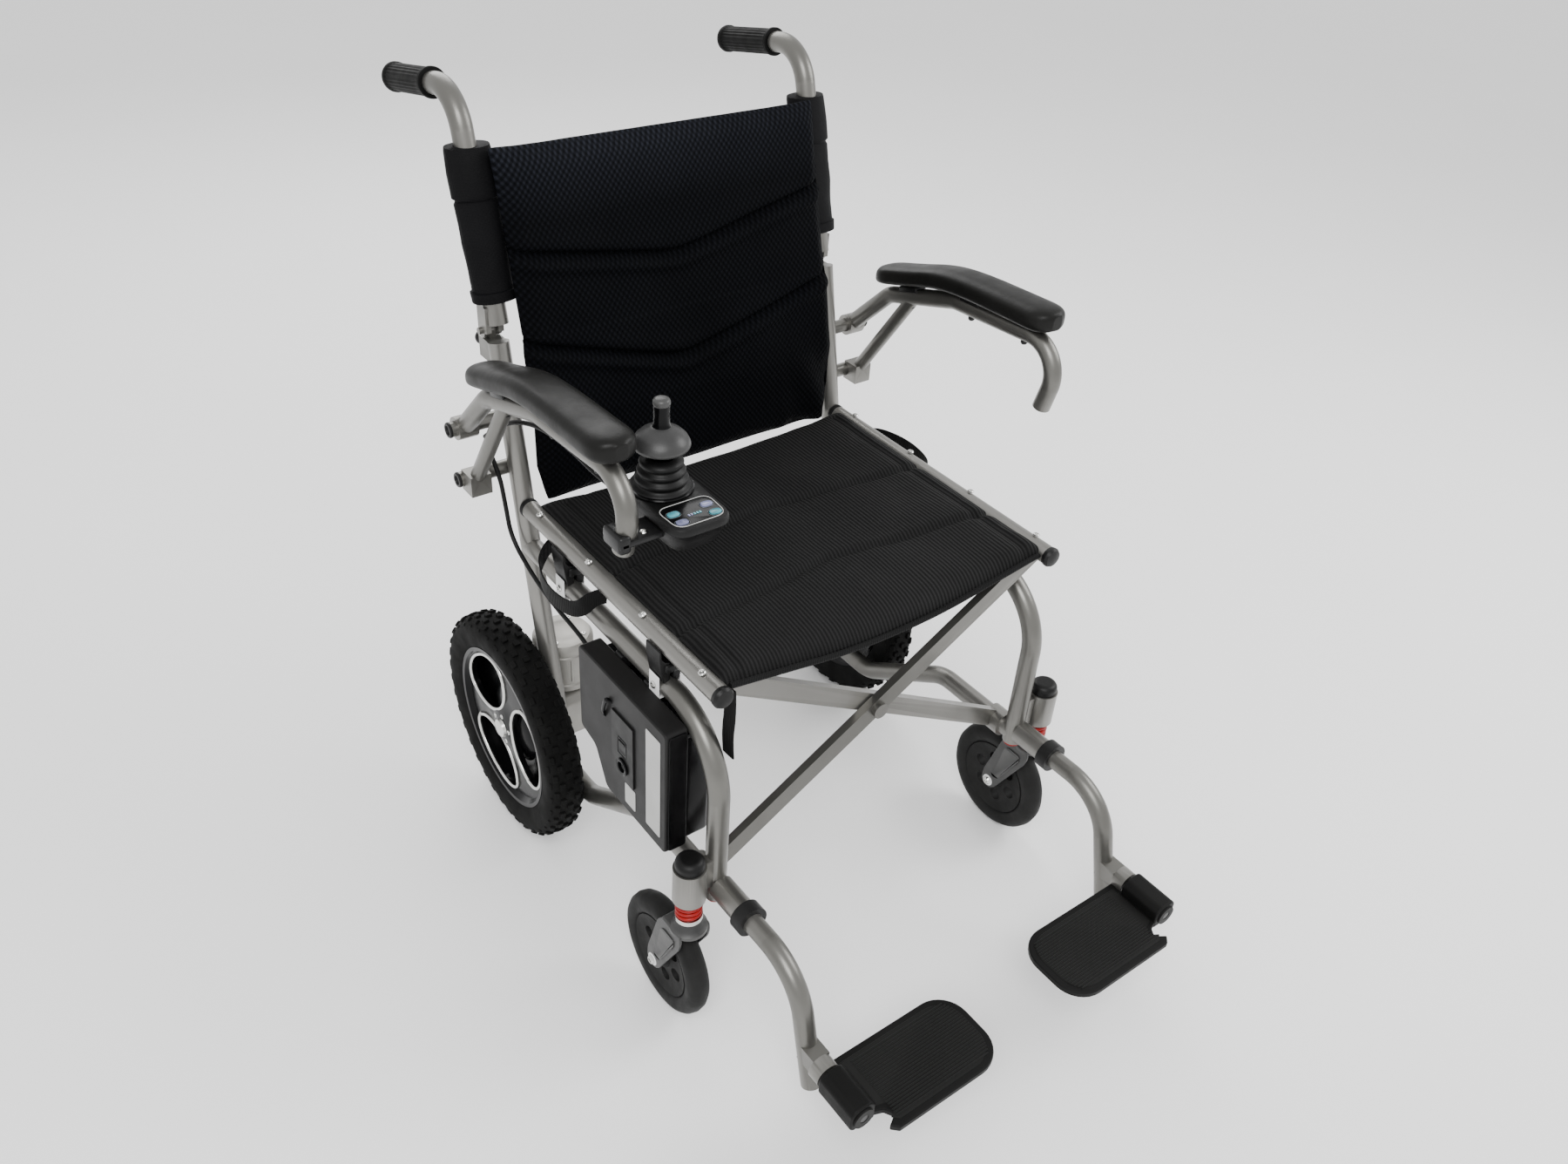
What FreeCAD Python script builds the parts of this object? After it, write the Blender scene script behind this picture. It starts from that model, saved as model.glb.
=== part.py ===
# Folding power wheelchair, built as separate named sub-parts.
# Frame: millimetres, +Z up, +X to the user's left, the user faces -Y, floor at Z = 0.
# Every driving size is a cell of the spreadsheet "Sizes"; shapes are bound to those cells.
import FreeCAD, Part
import math
import os
import re

os.makedirs("parts", exist_ok=True)
doc = FreeCAD.newDocument("PowerWheelchair")
V = FreeCAD.Vector
X_AXIS = V(1, 0, 0)
Y_AXIS = V(0, 1, 0)
Z_AXIS = V(0, 0, 1)
SIDES = (("right", -1), ("left", 1))

SIZES = (
    # frame
    ("rail_x", 236.0, "side frame and seat rail, distance from the middle"),
    ("tube_r", 12.5, "frame tube radius"),
    ("side_rail_z", 430.0, "side rail axis height"),
    ("frame_bend", 90.0, "side rail to front leg bend radius"),
    ("front_leg_y", -197.0, "front leg axis"),
    ("leg_bottom_z", 194.0, "lower end of the front leg"),
    ("low_rail_z", 207.0, "lower rail axis height, front part"),
    ("low_rail_drop_y", -60.0, "where the lower rail starts to fall"),
    ("low_rail_back_y", 88.0, "where the lower rail levels out again"),
    ("low_rail_back_z", 112.0, "lower rail height at the axle plate"),
    ("low_rail_bend", 60.0, "lower rail bend radius"),
    ("post_y", 164.0, "rear post foot"),
    ("post_z", 158.0, "rear post foot height"),
    ("post_lean", 0.2, "rear post lean, run over rise"),
    ("post_top_z", 682.0, "rear post top"),
    ("plate_thick", 6.0, "axle plate thickness"),
    ("plate_len", 122.0, "axle plate length"),
    ("plate_high", 104.0, "axle plate height"),
    # folding back
    ("hinge_back", 19.2, "back hinge axis, behind the top of the post"),
    ("hinge_up", 8.0, "back hinge axis, above the top of the post"),
    ("hinge_pin_r", 4.0, "back hinge pin radius"),
    ("eye_r", 6.0, "back hinge eye on the post, radius"),
    ("tongue_wide", 8.0, "back hinge tongue width"),
    ("lug_wide", 22.0, "back hinge lug width"),
    ("lug_eye_r", 8.0, "back hinge eye on the cane, radius"),
    ("cane_in", -4.0, "push cane, out from the side frame"),
    ("cane_back", 6.2, "push cane foot, behind the top of the post"),
    ("cane_up", 18.0, "push cane foot, above the top of the post"),
    ("cane_lean", 0.266, "push cane lean, run over rise"),
    ("cane_rise", 264.0, "corner of the cane, above the top of the post"),
    ("cane_bend", 50.0, "push cane bend radius"),
    ("grip_drop", 0.184, "fall of the grip, rise over run"),
    ("grip_reach", 157.6, "end of the push cane, behind its corner"),
    ("grip_r", 17.0, "push grip radius"),
    ("grip_len", 112.0, "push grip length"),
    ("sleeve_r", 16.0, "fabric sleeve radius"),
    # drive
    ("wheel_r", 157.0, "drive tyre radius"),
    ("wheel_w", 50.0, "drive tyre width"),
    ("wheel_out", 41.0, "drive wheel middle plane, out from the side frame"),
    ("wheel_y", 220.0, "drive wheel axis"),
    ("rim_r", 112.0, "drive rim radius"),
    ("rim_w", 36.0, "drive rim width"),
    ("axle_r", 8.0, "drive axle radius"),
    ("motor_r", 41.0, "motor can radius"),
    ("motor_len", 80.0, "motor can height"),
    ("gearbox_w", 53.0, "gearbox width"),
    ("gearbox_len", 68.0, "gearbox length"),
    ("gearbox_high", 64.0, "gearbox height"),
    # casters
    ("caster_out", 38.0, "caster swivel axis, out from the side frame"),
    ("caster_y", -201.0, "caster swivel axis"),
    ("caster_r", 78.0, "caster tyre radius"),
    ("caster_w", 28.0, "caster tyre width"),
    ("caster_hub_r", 54.0, "caster hub radius"),
    ("caster_trail", 43.0, "caster trail"),
    ("housing_r", 19.0, "caster housing radius"),
    ("housing_z", 215.0, "caster housing lower face"),
    ("housing_high", 49.0, "caster housing height"),
    ("stem_r", 6.0, "caster stem radius"),
    ("crown_z", 166.0, "fork crown lower face"),
    ("crown_high", 18.0, "fork crown height"),
    ("spring_r", 16.0, "caster spring radius"),
    ("cheek_thick", 4.0, "fork cheek thickness"),
    # footrests
    ("hanger_z", 215.0, "footrest socket axis height"),
    ("hanger_r", 12.0, "footrest tube radius"),
    ("socket_r", 15.0, "footrest socket radius"),
    ("socket_len", 58.0, "footrest socket length"),
    ("hanger_bend_y", -352.0, "footrest tube corner"),
    ("hanger_bend", 70.0, "footrest tube bend radius"),
    ("hanger_foot_y", -391.0, "footrest tube end"),
    ("hanger_foot_z", 72.0, "footrest tube end height"),
    ("foot_hinge_out", 2.0, "footplate hinge axis, out from the side frame"),
    ("foot_hinge_z", 120.0, "footplate hinge axis height"),
    ("foot_barrel_r", 15.0, "footplate barrel radius"),
    ("foot_pin_r", 5.0, "footplate pin radius"),
    ("foot_len", 102.0, "footplate length, front to back"),
    ("foot_wide", 165.0, "footplate width"),
    ("foot_thick", 8.0, "footplate thickness"),
    # seat
    ("rail_r", 11.5, "seat rail radius"),
    ("rail_z", 485.0, "seat rail axis height"),
    ("rail_front_y", -194.0, "seat rail front end"),
    ("rail_len", 408.0, "seat rail length"),
    ("seat_in", -14.0, "seat fabric edge, out from the seat rail"),
    ("seat_thick", 12.0, "seat fabric thickness"),
    ("seat_len", 396.0, "seat fabric length"),
    ("back_in", -27.0, "back panel edge, out from the side frame"),
    ("back_thick", 14.0, "back panel thickness"),
    ("upper_back_len", 163.0, "upper back panel length"),
    ("sleeve_up", 48.0, "lower end of the upper back, above the top of the post"),
    ("lower_back_len", 188.0, "lower back panel length"),
    # cross brace
    ("bar_high", 24.0, "brace bar height"),
    ("bar_thick", 10.0, "brace bar thickness"),
    ("bar_gap", 2.0, "gap between the two brace bars"),
    ("brace_y", -168.0, "plane between the two brace bars"),
    ("barrel_wall", 4.5, "brace barrel wall"),
    ("bolt_r", 5.0, "brace centre bolt radius"),
    # armrests
    ("arm_out", 53.0, "armrest plane, out from the side frame"),
    ("arm_y", 262.0, "armrest pivot"),
    ("arm_z", 590.0, "armrest pivot height"),
    ("stop_y", 254.0, "armrest lower stub"),
    ("stop_z", 527.0, "armrest lower stub height"),
    ("stub_r", 9.0, "armrest stub radius"),
    ("arm_r", 11.0, "armrest tube radius"),
    ("strut_r", 9.0, "armrest strut radius"),
    ("arm_knee_y", 190.0, "armrest tube rear corner"),
    ("arm_knee_z", 660.0, "armrest tube rear corner height"),
    ("arm_arch_y", 70.0, "armrest tube arch corner"),
    ("arm_arch_z", 697.0, "armrest tube arch corner height"),
    ("arm_front_y", -116.0, "armrest tube front corner"),
    ("arm_front_z", 708.0, "armrest tube front corner height"),
    ("arm_end_y", -95.0, "armrest tube free end"),
    ("arm_end_z", 625.0, "armrest tube free end height"),
    ("arm_bend", 42.0, "armrest tube front bend radius"),
    ("pad_rear_y", 208.0, "armrest pad rear end"),
    ("pad_front_y", -96.0, "armrest pad front end"),
    ("strut_top_y", 143.0, "armrest strut top"),
    ("pad_wide", 54.0, "armrest pad width"),
    ("pad_thick", 30.0, "armrest pad thickness"),
    # controller
    ("ctl_in", -11.0, "controller middle, out from the side frame"),
    ("ctl_y", -88.0, "controller middle"),
    ("ctl_z", 660.0, "controller top face height"),
    ("ctl_wide", 74.0, "controller width"),
    ("ctl_len", 112.0, "controller length"),
    ("ctl_high", 34.0, "controller height"),
    ("stick_y", -62.0, "joystick axis"),
    ("boot_r", 30.0, "joystick boot foot radius"),
    ("boot_top_r", 23.0, "joystick boot top radius"),
    ("boot_high", 34.0, "joystick boot height"),
    ("skirt_r", 29.0, "joystick skirt radius"),
    ("knob_r", 11.0, "joystick knob radius"),
    ("stick_r", 5.0, "joystick stem radius"),
    ("button_wide", 13.0, "button width"),
    ("button_len", 9.0, "button length"),
    ("button_high", 4.0, "button height"),
    # battery
    ("bat_out", 10.0, "battery middle plane, out from the side frame"),
    ("bat_y", -60.0, "battery middle"),
    ("bat_z", 244.0, "battery underside height"),
    ("bat_wide", 64.0, "battery thickness"),
    ("bat_len", 178.0, "battery length"),
    ("bat_high", 156.0, "battery height between the tubes"),
    ("cover_wide", 29.0, "battery cover, the part outside the tubes"),
    ("cover_high", 176.0, "battery cover height"),
    ("bat_chamfer", 34.0, "battery rear lower corner"),
    # fits and small parts
    ("fit", 0.05, "running clearance on the radius"),
    ("seam", 0.4, "clearance between faces of moving parts"),
    ("cable_r", 2.75, "controller cable radius"),
)

sheet = doc.addObject("Spreadsheet::Sheet", "Sizes")
for row, (word, amount, note) in enumerate(SIZES, start=1):
    sheet.set("A%d" % row, word)
    sheet.set("B%d" % row, "%g" % amount)
    sheet.set("C%d" % row, note)
    sheet.setAlias("B%d" % row, word)
doc.recompute()

ALIASES = set(word for word, amount, note in SIZES)
FINAL = []


def size(word):
    """The present value of one cell."""
    return float(sheet.get(word))


def bind(piece, **formulas):
    """Drive the properties of a piece by cells of the sheet."""
    for prop, formula in formulas.items():
        text = re.sub(r"[a-z_]+[a-z0-9_]*",
                      lambda m: "Sizes." + m.group(0) if m.group(0) in ALIASES else m.group(0), formula)
        piece.setExpression(prop, text)
    return piece


def box(name, wide, length, high, middle, tilt=0.0, about=X_AXIS):
    """A box centred on a point; its three sizes are sheet formulas."""
    piece = doc.addObject("Part::Box", name)
    bind(piece, Length=wide, Width=length, Height=high)
    doc.recompute()
    half = V(piece.Length.Value / 2, piece.Width.Value / 2, piece.Height.Value / 2)
    turn = FreeCAD.Rotation(about, tilt)
    piece.Placement = FreeCAD.Placement(middle - turn.multVec(half), turn)
    return piece


def cylinder(name, radius, height, start, along):
    """A cylinder from a start point along a direction."""
    piece = doc.addObject("Part::Cylinder", name)
    bind(piece, Radius=radius, Height=height)
    piece.Placement = FreeCAD.Placement(start, FreeCAD.Rotation(Z_AXIS, along))
    return piece


def cone(name, foot, top, height, start, along):
    """A truncated cone from a start point along a direction."""
    piece = doc.addObject("Part::Cone", name)
    bind(piece, Radius1=foot, Radius2=top, Height=height)
    piece.Placement = FreeCAD.Placement(start, FreeCAD.Rotation(Z_AXIS, along))
    return piece


def fuse(name, *pieces):
    """Pieces made in one."""
    piece = doc.addObject("Part::MultiFuse", name)
    piece.Shapes = list(pieces)
    piece.Refine = True
    return piece


def cut(name, base, *tools):
    """A piece with the tools taken out of it."""
    for count, tool in enumerate(tools):
        last = count == len(tools) - 1
        piece = doc.addObject("Part::Cut", name if last else "%s_step%d" % (name, count))
        piece.Base = base
        piece.Tool = tool
        piece.Refine = True
        base = piece
    return base


def keep(piece, label):
    """Mark a piece as a finished sub-part."""
    piece.Label = label
    FINAL.append(piece)
    return piece


def bend_wire(points, radii):
    """Straight runs joined by tangent arcs, one radius for each corner."""
    edges = []
    start = points[0]
    for before, corner, after, radius in zip(points, points[1:], points[2:], radii):
        toward = (before - corner).normalize()
        away = (after - corner).normalize()
        half = toward.getAngle(away) / 2
        reach = radius / math.tan(half)
        first = corner + toward * reach
        last = corner + away * reach
        centre = corner + (toward + away).normalize() * (radius / math.sin(half))
        middle = centre + (corner - centre).normalize() * radius
        edges.append(Part.makeLine(start, first))
        edges.append(Part.Arc(first, middle, last).toShape())
        start = last
    edges.append(Part.makeLine(start, points[-1]))
    return Part.Wire(edges)


def tube(name, radius, points, bend):
    """A round bar swept along straight runs and arcs; bend is a radius, or a list of one for each corner."""
    spine = doc.addObject("Part::Feature", name + "_path")
    radii = bend if isinstance(bend, list) else [bend] * (len(points) - 2)
    spine.Shape = bend_wire(points, radii)
    ring = doc.addObject("Part::Circle", name + "_ring")
    bind(ring, Radius=radius)
    ring.Placement = FreeCAD.Placement(points[0], FreeCAD.Rotation(Z_AXIS, points[1] - points[0]))
    piece = doc.addObject("Part::Sweep", name)
    piece.Sections = [ring]
    piece.Spine = (spine, ["Edge%d" % (i + 1) for i in range(len(spine.Shape.Edges))])
    piece.Solid = True
    piece.Frenet = False
    return piece


def slab(name, outline, thick, along):
    """A flat plate: a closed outline pushed along a direction."""
    loop = doc.addObject("Part::Polygon", name + "_outline")
    loop.Nodes = outline
    loop.Close = True
    piece = doc.addObject("Part::Extrusion", name)
    piece.Base = loop
    piece.DirMode = "Custom"
    piece.Dir = along
    piece.Solid = True
    bind(piece, LengthFwd=thick)
    return piece


def round_edges(name, base, radius, picker):
    """Fillet the edges that the picker chooses."""
    doc.recompute()
    piece = doc.addObject("Part::Fillet", name)
    piece.Base = base
    chosen = [i + 1 for i, edge in enumerate(base.Shape.Edges) if picker(edge)]
    piece.Edges = [(i, radius, radius) for i in chosen]
    return piece


def post_point(z):
    """Y of the rear post axis at a height."""
    return size("post_y") + size("post_lean") * (z - size("post_z"))


def hinge_y():
    """Y of the back hinge axis."""
    return post_point(size("post_top_z")) + size("hinge_back")


def hinge_z():
    """Height of the back hinge axis."""
    return size("post_top_z") + size("hinge_up")


def cane_y():
    """Y of the push cane foot."""
    return post_point(size("post_top_z")) + size("cane_back")


def cane_z():
    """Height of the push cane foot."""
    return size("post_top_z") + size("cane_up")


def across(word):
    """Distance from the middle of something placed out from the side frame."""
    return size("rail_x") + size(word)


def cane_point(z):
    """Y of the push cane axis at a height."""
    return cane_y() + size("cane_lean") * (z - cane_z())


def along_y(start, end, y):
    """The point of a straight run at a Y."""
    return start + (end - start) * ((y - start.y) / (end.y - start.y))


def is_round(edge):
    """True for a full circle."""
    return isinstance(edge.Curve, Part.Circle) and edge.isClosed()


# ---------------------------------------------------------------- side frames
def side_frame(side, s):
    x = s * size("rail_x")
    leg_y = size("front_leg_y")
    rail_z = size("side_rail_z")
    post_axis = V(0, size("post_lean"), 1)

    post = cylinder("rear_post_core_" + side, "tube_r",
                    "(post_top_z - post_z) * sqrt(1 + post_lean * post_lean)",
                    V(x, size("post_y"), size("post_z")), post_axis)
    stub_up = cylinder("stub_up_" + side, "stub_r", "arm_out + 19",
                       V(x, size("arm_y"), size("arm_z")), V(s, 0, 0))
    stub_low = cylinder("stub_low_" + side, "stub_r", "arm_out + 17",
                        V(x, size("stop_y"), size("stop_z")), V(s, 0, 0))
    ear = box("hinge_ear_" + side, "lug_wide", "26", "25",
              V(x, hinge_y() - 4, hinge_z() - 21.5), 0)
    tongue = box("hinge_tongue_" + side, "tongue_wide", "2 * eye_r", "9 + seam",
                 V(x, hinge_y(), hinge_z() - (9 + size("seam")) / 2))
    eye = cylinder("hinge_eye_" + side, "eye_r", "tongue_wide",
                   V(x - size("tongue_wide") / 2, hinge_y(), hinge_z()), X_AXIS)
    pin = cylinder("hinge_pin_" + side, "hinge_pin_r", "30",
                   V(x - 15, hinge_y(), hinge_z()), X_AXIS)
    clear = cylinder("ear_clear_" + side, "tube_r + 3.5 + seam", "60",
                     V(s * across("cane_in"), cane_point(hinge_z() + 0.5), hinge_z() + 0.5),
                     V(0, size("cane_lean"), 1))
    weld = fuse("rear_post_all_" + side, post, stub_up, stub_low, ear)
    trimmed = cut("rear_post_trim_" + side, weld, clear)
    keep(fuse("rear_post_" + side, trimmed, tongue, eye, pin), "rear_post_" + side)

    front = tube("front_tube_" + side, "tube_r",
                 [V(x, post_point(rail_z), rail_z), V(x, leg_y, rail_z), V(x, leg_y, size("leg_bottom_z"))],
                 size("frame_bend"))
    socket = cylinder("socket_tube_" + side, "socket_r", "socket_len",
                      V(x, leg_y - 11, size("hanger_z")), -Y_AXIS)
    socket_bore = cylinder("socket_bore_" + side, "hanger_r + fit", "socket_len + 20",
                           V(x, leg_y - 15, size("hanger_z")), -Y_AXIS)
    front = keep(cut("front_frame_" + side, fuse("front_all_" + side, front, socket), post, socket_bore),
                 "front_frame_" + side)

    plate = box("axle_blank_" + side, "plate_thick", "plate_len", "plate_high",
                V(x, 146 + size("plate_len") / 2, 148))
    lower = tube("low_tube_" + side, "tube_r",
                 [V(x, leg_y, size("low_rail_z")),
                  V(x, size("low_rail_drop_y"), size("low_rail_z")),
                  V(x, size("low_rail_back_y"), size("low_rail_back_z")),
                  V(x, 176, size("low_rail_back_z"))],
                 size("low_rail_bend"))
    bore = cylinder("axle_bore_" + side, "axle_r + 6", "40", V(x - 20, size("wheel_y"), size("wheel_r") + 1),
                    X_AXIS)
    whole = fuse("lower_all_" + side, lower, plate)
    keep(cut("lower_rail_" + side, whole, front, post, bore), "lower_rail_" + side)

    leg_tool = cylinder("leg_tool_" + side, "tube_r", "120", V(x, leg_y, 180), Z_AXIS)
    low_z = size("housing_z")
    cx = s * across("caster_out")
    cy = size("caster_y")
    barrel = cylinder("housing_body_" + side, "housing_r", "housing_high", V(cx, cy, low_z), Z_AXIS)
    web = box("housing_web_" + side, "caster_out", "12", "housing_high - 8",
              V((cx + x) / 2, cy + 2, low_z + size("housing_high") / 2))
    stem_bore = cylinder("housing_bore_" + side, "stem_r + fit", "housing_high",
                         V(cx, cy, low_z - 1), Z_AXIS)
    cap = cylinder("cap_body_" + side, "housing_r - 2", "14", V(cx, cy, low_z + size("housing_high")), Z_AXIS)
    cap = round_edges("caster_cap_" + side, cap, 8,
                      lambda e: is_round(e) and e.Curve.Center.z > low_z + size("housing_high") + 5)
    whole = fuse("housing_all_" + side, barrel, web, cap)
    keep(cut("caster_housing_" + side, whole, leg_tool, stem_bore), "caster_housing_" + side)

    clips = []
    for place, clip_y in (("front", -88.0), ("rear", 120.0)):
        block = box("clip_%s_%s" % (place, side), "20", "28", "rail_z - side_rail_z",
                    V(x, clip_y, (size("rail_z") + rail_z) / 2))
        clips.append(block)
    rest = cylinder("clip_rest_" + side, "rail_r + seam", "500", V(x, -250, size("rail_z")), Y_AXIS)
    under = cylinder("clip_under_" + side, "tube_r", "500", V(x, -250, rail_z), Y_AXIS)
    keep(cut("seat_cradles_" + side, fuse("clips_" + side, *clips), rest, under), "seat_cradles_" + side)


def caster(side, s):
    cx = s * across("caster_out")
    cy = size("caster_y")
    wheel_y = cy + size("caster_trail")
    wheel_z = size("caster_r")
    crown_top = size("crown_z") + size("crown_high")
    stem = cylinder("stem_core_" + side, "stem_r", "housing_z - crown_z + housing_high - 16",
                    V(cx, cy, size("crown_z") + 2), Z_AXIS)
    seat = cylinder("stem_seat_" + side, "spring_r", "6", V(cx, cy, crown_top + size("seam")), Z_AXIS)
    keep(fuse("caster_stem_" + side, stem, seat), "caster_stem_" + side)

    spring_foot = crown_top + size("seam") + 6
    ring = cylinder("spring_body_" + side, "spring_r", "housing_z - crown_z - crown_high - seam - 6",
                    V(cx, cy, spring_foot), Z_AXIS)
    hole = cylinder("spring_hole_" + side, "stem_r + 4.5", "60", V(cx, cy, spring_foot - 10), Z_AXIS)
    keep(cut("caster_spring_" + side, ring, hole), "caster_spring_" + side)

    crown = box("crown_" + side, "caster_w + 6 + 2 * cheek_thick", "40", "crown_high",
                V(cx, cy + 6, size("crown_z") + size("crown_high") / 2))
    parts = [crown]
    half = size("caster_w") / 2 + 3
    for face in (-1, 1):
        start = cx + face * half + (size("cheek_thick") if face < 0 else 0) * face
        outline = [V(start, cy - 14, crown_top), V(start, cy + 26, crown_top),
                   V(start, wheel_y + 13, wheel_z + 6), V(start, wheel_y + 8, wheel_z - 12),
                   V(start, wheel_y - 8, wheel_z - 12), V(start, wheel_y - 13, wheel_z + 2),
                   V(start, cy - 14, crown_top - 24)]
        parts.append(slab("cheek_%s_%d" % (side, face + 1), outline, "cheek_thick", X_AXIS))
    axle = cylinder("caster_axle_" + side, "4", "caster_w + 6 + 2 * cheek_thick + 6",
                    V(cx - half - size("cheek_thick") - 3, wheel_y, wheel_z), X_AXIS)
    parts.append(axle)
    bore = cylinder("crown_bore_" + side, "stem_r + fit", "60", V(cx, cy, size("crown_z") - 20), Z_AXIS)
    keep(cut("caster_fork_" + side, fuse("fork_all_" + side, *parts), bore), "caster_fork_" + side)

    tread = cylinder("tread_" + side, "caster_r", "caster_w",
                     V(cx - size("caster_w") / 2, wheel_y, wheel_z), X_AXIS)
    tread = round_edges("tread_round_" + side, tread, 9, is_round)
    inner = cylinder("tread_inner_" + side, "caster_hub_r", "caster_w + 20",
                     V(cx - size("caster_w") / 2 - 10, wheel_y, wheel_z), X_AXIS)
    keep(cut("caster_tyre_" + side, tread, inner), "caster_tyre_" + side)
    hub = cylinder("hub_disc_" + side, "caster_hub_r", "caster_w - 8",
                   V(cx - size("caster_w") / 2 + 4, wheel_y, wheel_z), X_AXIS)
    tools = [cylinder("hub_bore_" + side, "4 + fit", "60", V(cx - 30, wheel_y, wheel_z), X_AXIS)]
    for step in range(6):
        turn = math.radians(60 * step)
        centre = V(cx - 30, wheel_y + 33 * math.cos(turn), wheel_z + 33 * math.sin(turn))
        tools.append(cylinder("hub_hole_%s_%d" % (side, step), "9", "60", centre, X_AXIS))
    keep(cut("caster_hub_" + side, hub, fuse("hub_tools_" + side, *tools)), "caster_hub_" + side)


def drive(side, s):
    x = s * size("rail_x")
    wy = size("wheel_y")
    wz = size("wheel_r")
    wx = s * across("wheel_out")
    face = x - s * size("plate_thick") / 2
    gear_x = face - s * size("gearbox_w") / 2
    gearbox = box("gearbox_" + side, "gearbox_w", "gearbox_len", "gearbox_high", V(gear_x, wy, wz))
    can = cylinder("motor_can_" + side, "motor_r", "motor_len",
                   V(gear_x + s * 14.5 - s * 30, wy + 15, wz + size("gearbox_high") / 2), Z_AXIS)
    shaft_hole = cylinder("gear_bore_" + side, "axle_r + fit", "30", V(face - s * 22, wy, wz), V(s, 0, 0))
    keep(cut("gear_motor_" + side, fuse("drive_all_" + side, gearbox, can), shaft_hole), "gear_motor_" + side)

    tread = cylinder("drive_tread_" + side, "wheel_r", "wheel_w", V(wx - size("wheel_w") / 2, wy, wz), X_AXIS)
    tread = round_edges("drive_tread_round_" + side, tread, 18, is_round)
    inner = cylinder("drive_inner_" + side, "rim_r", "wheel_w + 20",
                     V(wx - size("wheel_w") / 2 - 10, wy, wz), X_AXIS)
    keep(cut("rear_tyre_" + side, tread, inner), "rear_tyre_" + side)

    ring = cylinder("rim_ring_" + side, "rim_r", "rim_w", V(wx - size("rim_w") / 2, wy, wz), X_AXIS)
    well = cylinder("rim_well_" + side, "rim_r - 12", "rim_w + 20",
                    V(wx - size("rim_w") / 2 - 10, wy, wz), X_AXIS)
    disc = cylinder("rim_disc_" + side, "rim_r - 12", "12", V(wx - 6, wy, wz), X_AXIS)
    hub = cylinder("rim_hub_" + side, "26", "40", V(wx - 20, wy, wz), X_AXIS)
    axle = cylinder("rim_axle_" + side, "axle_r", "wheel_out + plate_thick / 2 + 20",
                    V(face - s * 20, wy, wz), V(s, 0, 0))
    holes = []
    for step in range(6):
        turn = math.radians(60 * step + 30)
        centre = V(wx - 30, wy + 62 * math.cos(turn), wz + 62 * math.sin(turn))
        holes.append(cylinder("rim_hole_%s_%d" % (side, step), "20", "60", centre, X_AXIS))
    body = fuse("rim_body_" + side, cut("rim_hoop_" + side, ring, well),
                cut("rim_web_" + side, disc, fuse("rim_tools_" + side, *holes)), hub, axle)
    keep(body, "rear_rim_" + side)


def footrest(side, s):
    x = s * size("rail_x")
    points = [V(x, size("front_leg_y") - 18, size("hanger_z")),
              V(x, size("hanger_bend_y"), size("hanger_z")),
              V(x, size("hanger_foot_y"), size("hanger_foot_z"))]
    hanger = tube("hanger_bar_" + side, "hanger_r", points, size("hanger_bend"))

    collar = cylinder("collar_body_" + side, "socket_r + 4", "16",
                      V(x, size("front_leg_y") - 11 - size("socket_len") + 13, size("hanger_z")), -Y_AXIS)
    collar_hole = cylinder("collar_hole_" + side, "socket_r", "socket_len",
                           V(x, size("front_leg_y") - 30, size("hanger_z")), -Y_AXIS)
    lip = cylinder("collar_lip_" + side, "hanger_r + fit", "60",
                   V(x, size("front_leg_y") - 40, size("hanger_z")), -Y_AXIS)
    socket_end = size("front_leg_y") - 11 - size("socket_len")
    hole_end = box("collar_stop_" + side, "60", "40", "60", V(x, socket_end - 20, size("hanger_z")))
    collar_step = cut("collar_step_" + side, collar_hole, hole_end)
    keep(cut("hanger_collar_" + side, collar, collar_step, lip), "hanger_collar_" + side)

    hx = s * across("foot_hinge_out")
    hz = size("foot_hinge_z")
    back_y = size("hanger_foot_y") - 12
    knuckle = cylinder("knuckle_" + side, "foot_barrel_r", "16", V(hx, back_y + 1, hz), -Y_AXIS)
    arm = box("knuckle_arm_" + side, "22", "27", "24", V(x, back_y + 14.5, hz))
    pin = cylinder("foot_pin_" + side, "foot_pin_r", "66", V(hx, back_y, hz), -Y_AXIS)
    keep(fuse("hanger_tube_" + side, hanger, knuckle, arm, pin), "hanger_tube_" + side)

    front_y = back_y - size("foot_len")
    inner_x = s * (across("foot_hinge_out") - 16 - size("foot_wide"))
    outer_x = s * (across("foot_hinge_out") - 16)
    corner = 38.0
    nose = 20.0
    low = hz - 4 - size("foot_thick")
    outline = [V(outer_x, back_y, low), V(inner_x + s * nose, back_y, low),
               V(inner_x + s * 5, back_y - nose * 0.7, low), V(inner_x, back_y - corner, low),
               V(inner_x, front_y + corner, low), V(inner_x + s * 5, front_y + nose * 0.7, low),
               V(inner_x + s * nose, front_y, low), V(outer_x, front_y, low)]
    deck = slab("deck_" + side, outline, "foot_thick", Z_AXIS)
    tongue = box("tongue_" + side, "20", "52", "foot_thick - 1.5",
                 V(hx - s * 12, back_y - 16 - 26, low + (size("foot_thick") - 1.5) / 2))
    barrel = cylinder("foot_barrel_" + side, "foot_barrel_r", "52", V(hx, back_y - 16, hz), -Y_AXIS)
    bore = cylinder("foot_bore_" + side, "foot_pin_r + fit", "51", V(hx, back_y - 15, hz), -Y_AXIS)
    keep(cut("footplate_" + side, fuse("plate_all_" + side, deck, tongue, barrel), bore),
         "footplate_" + side)


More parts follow.
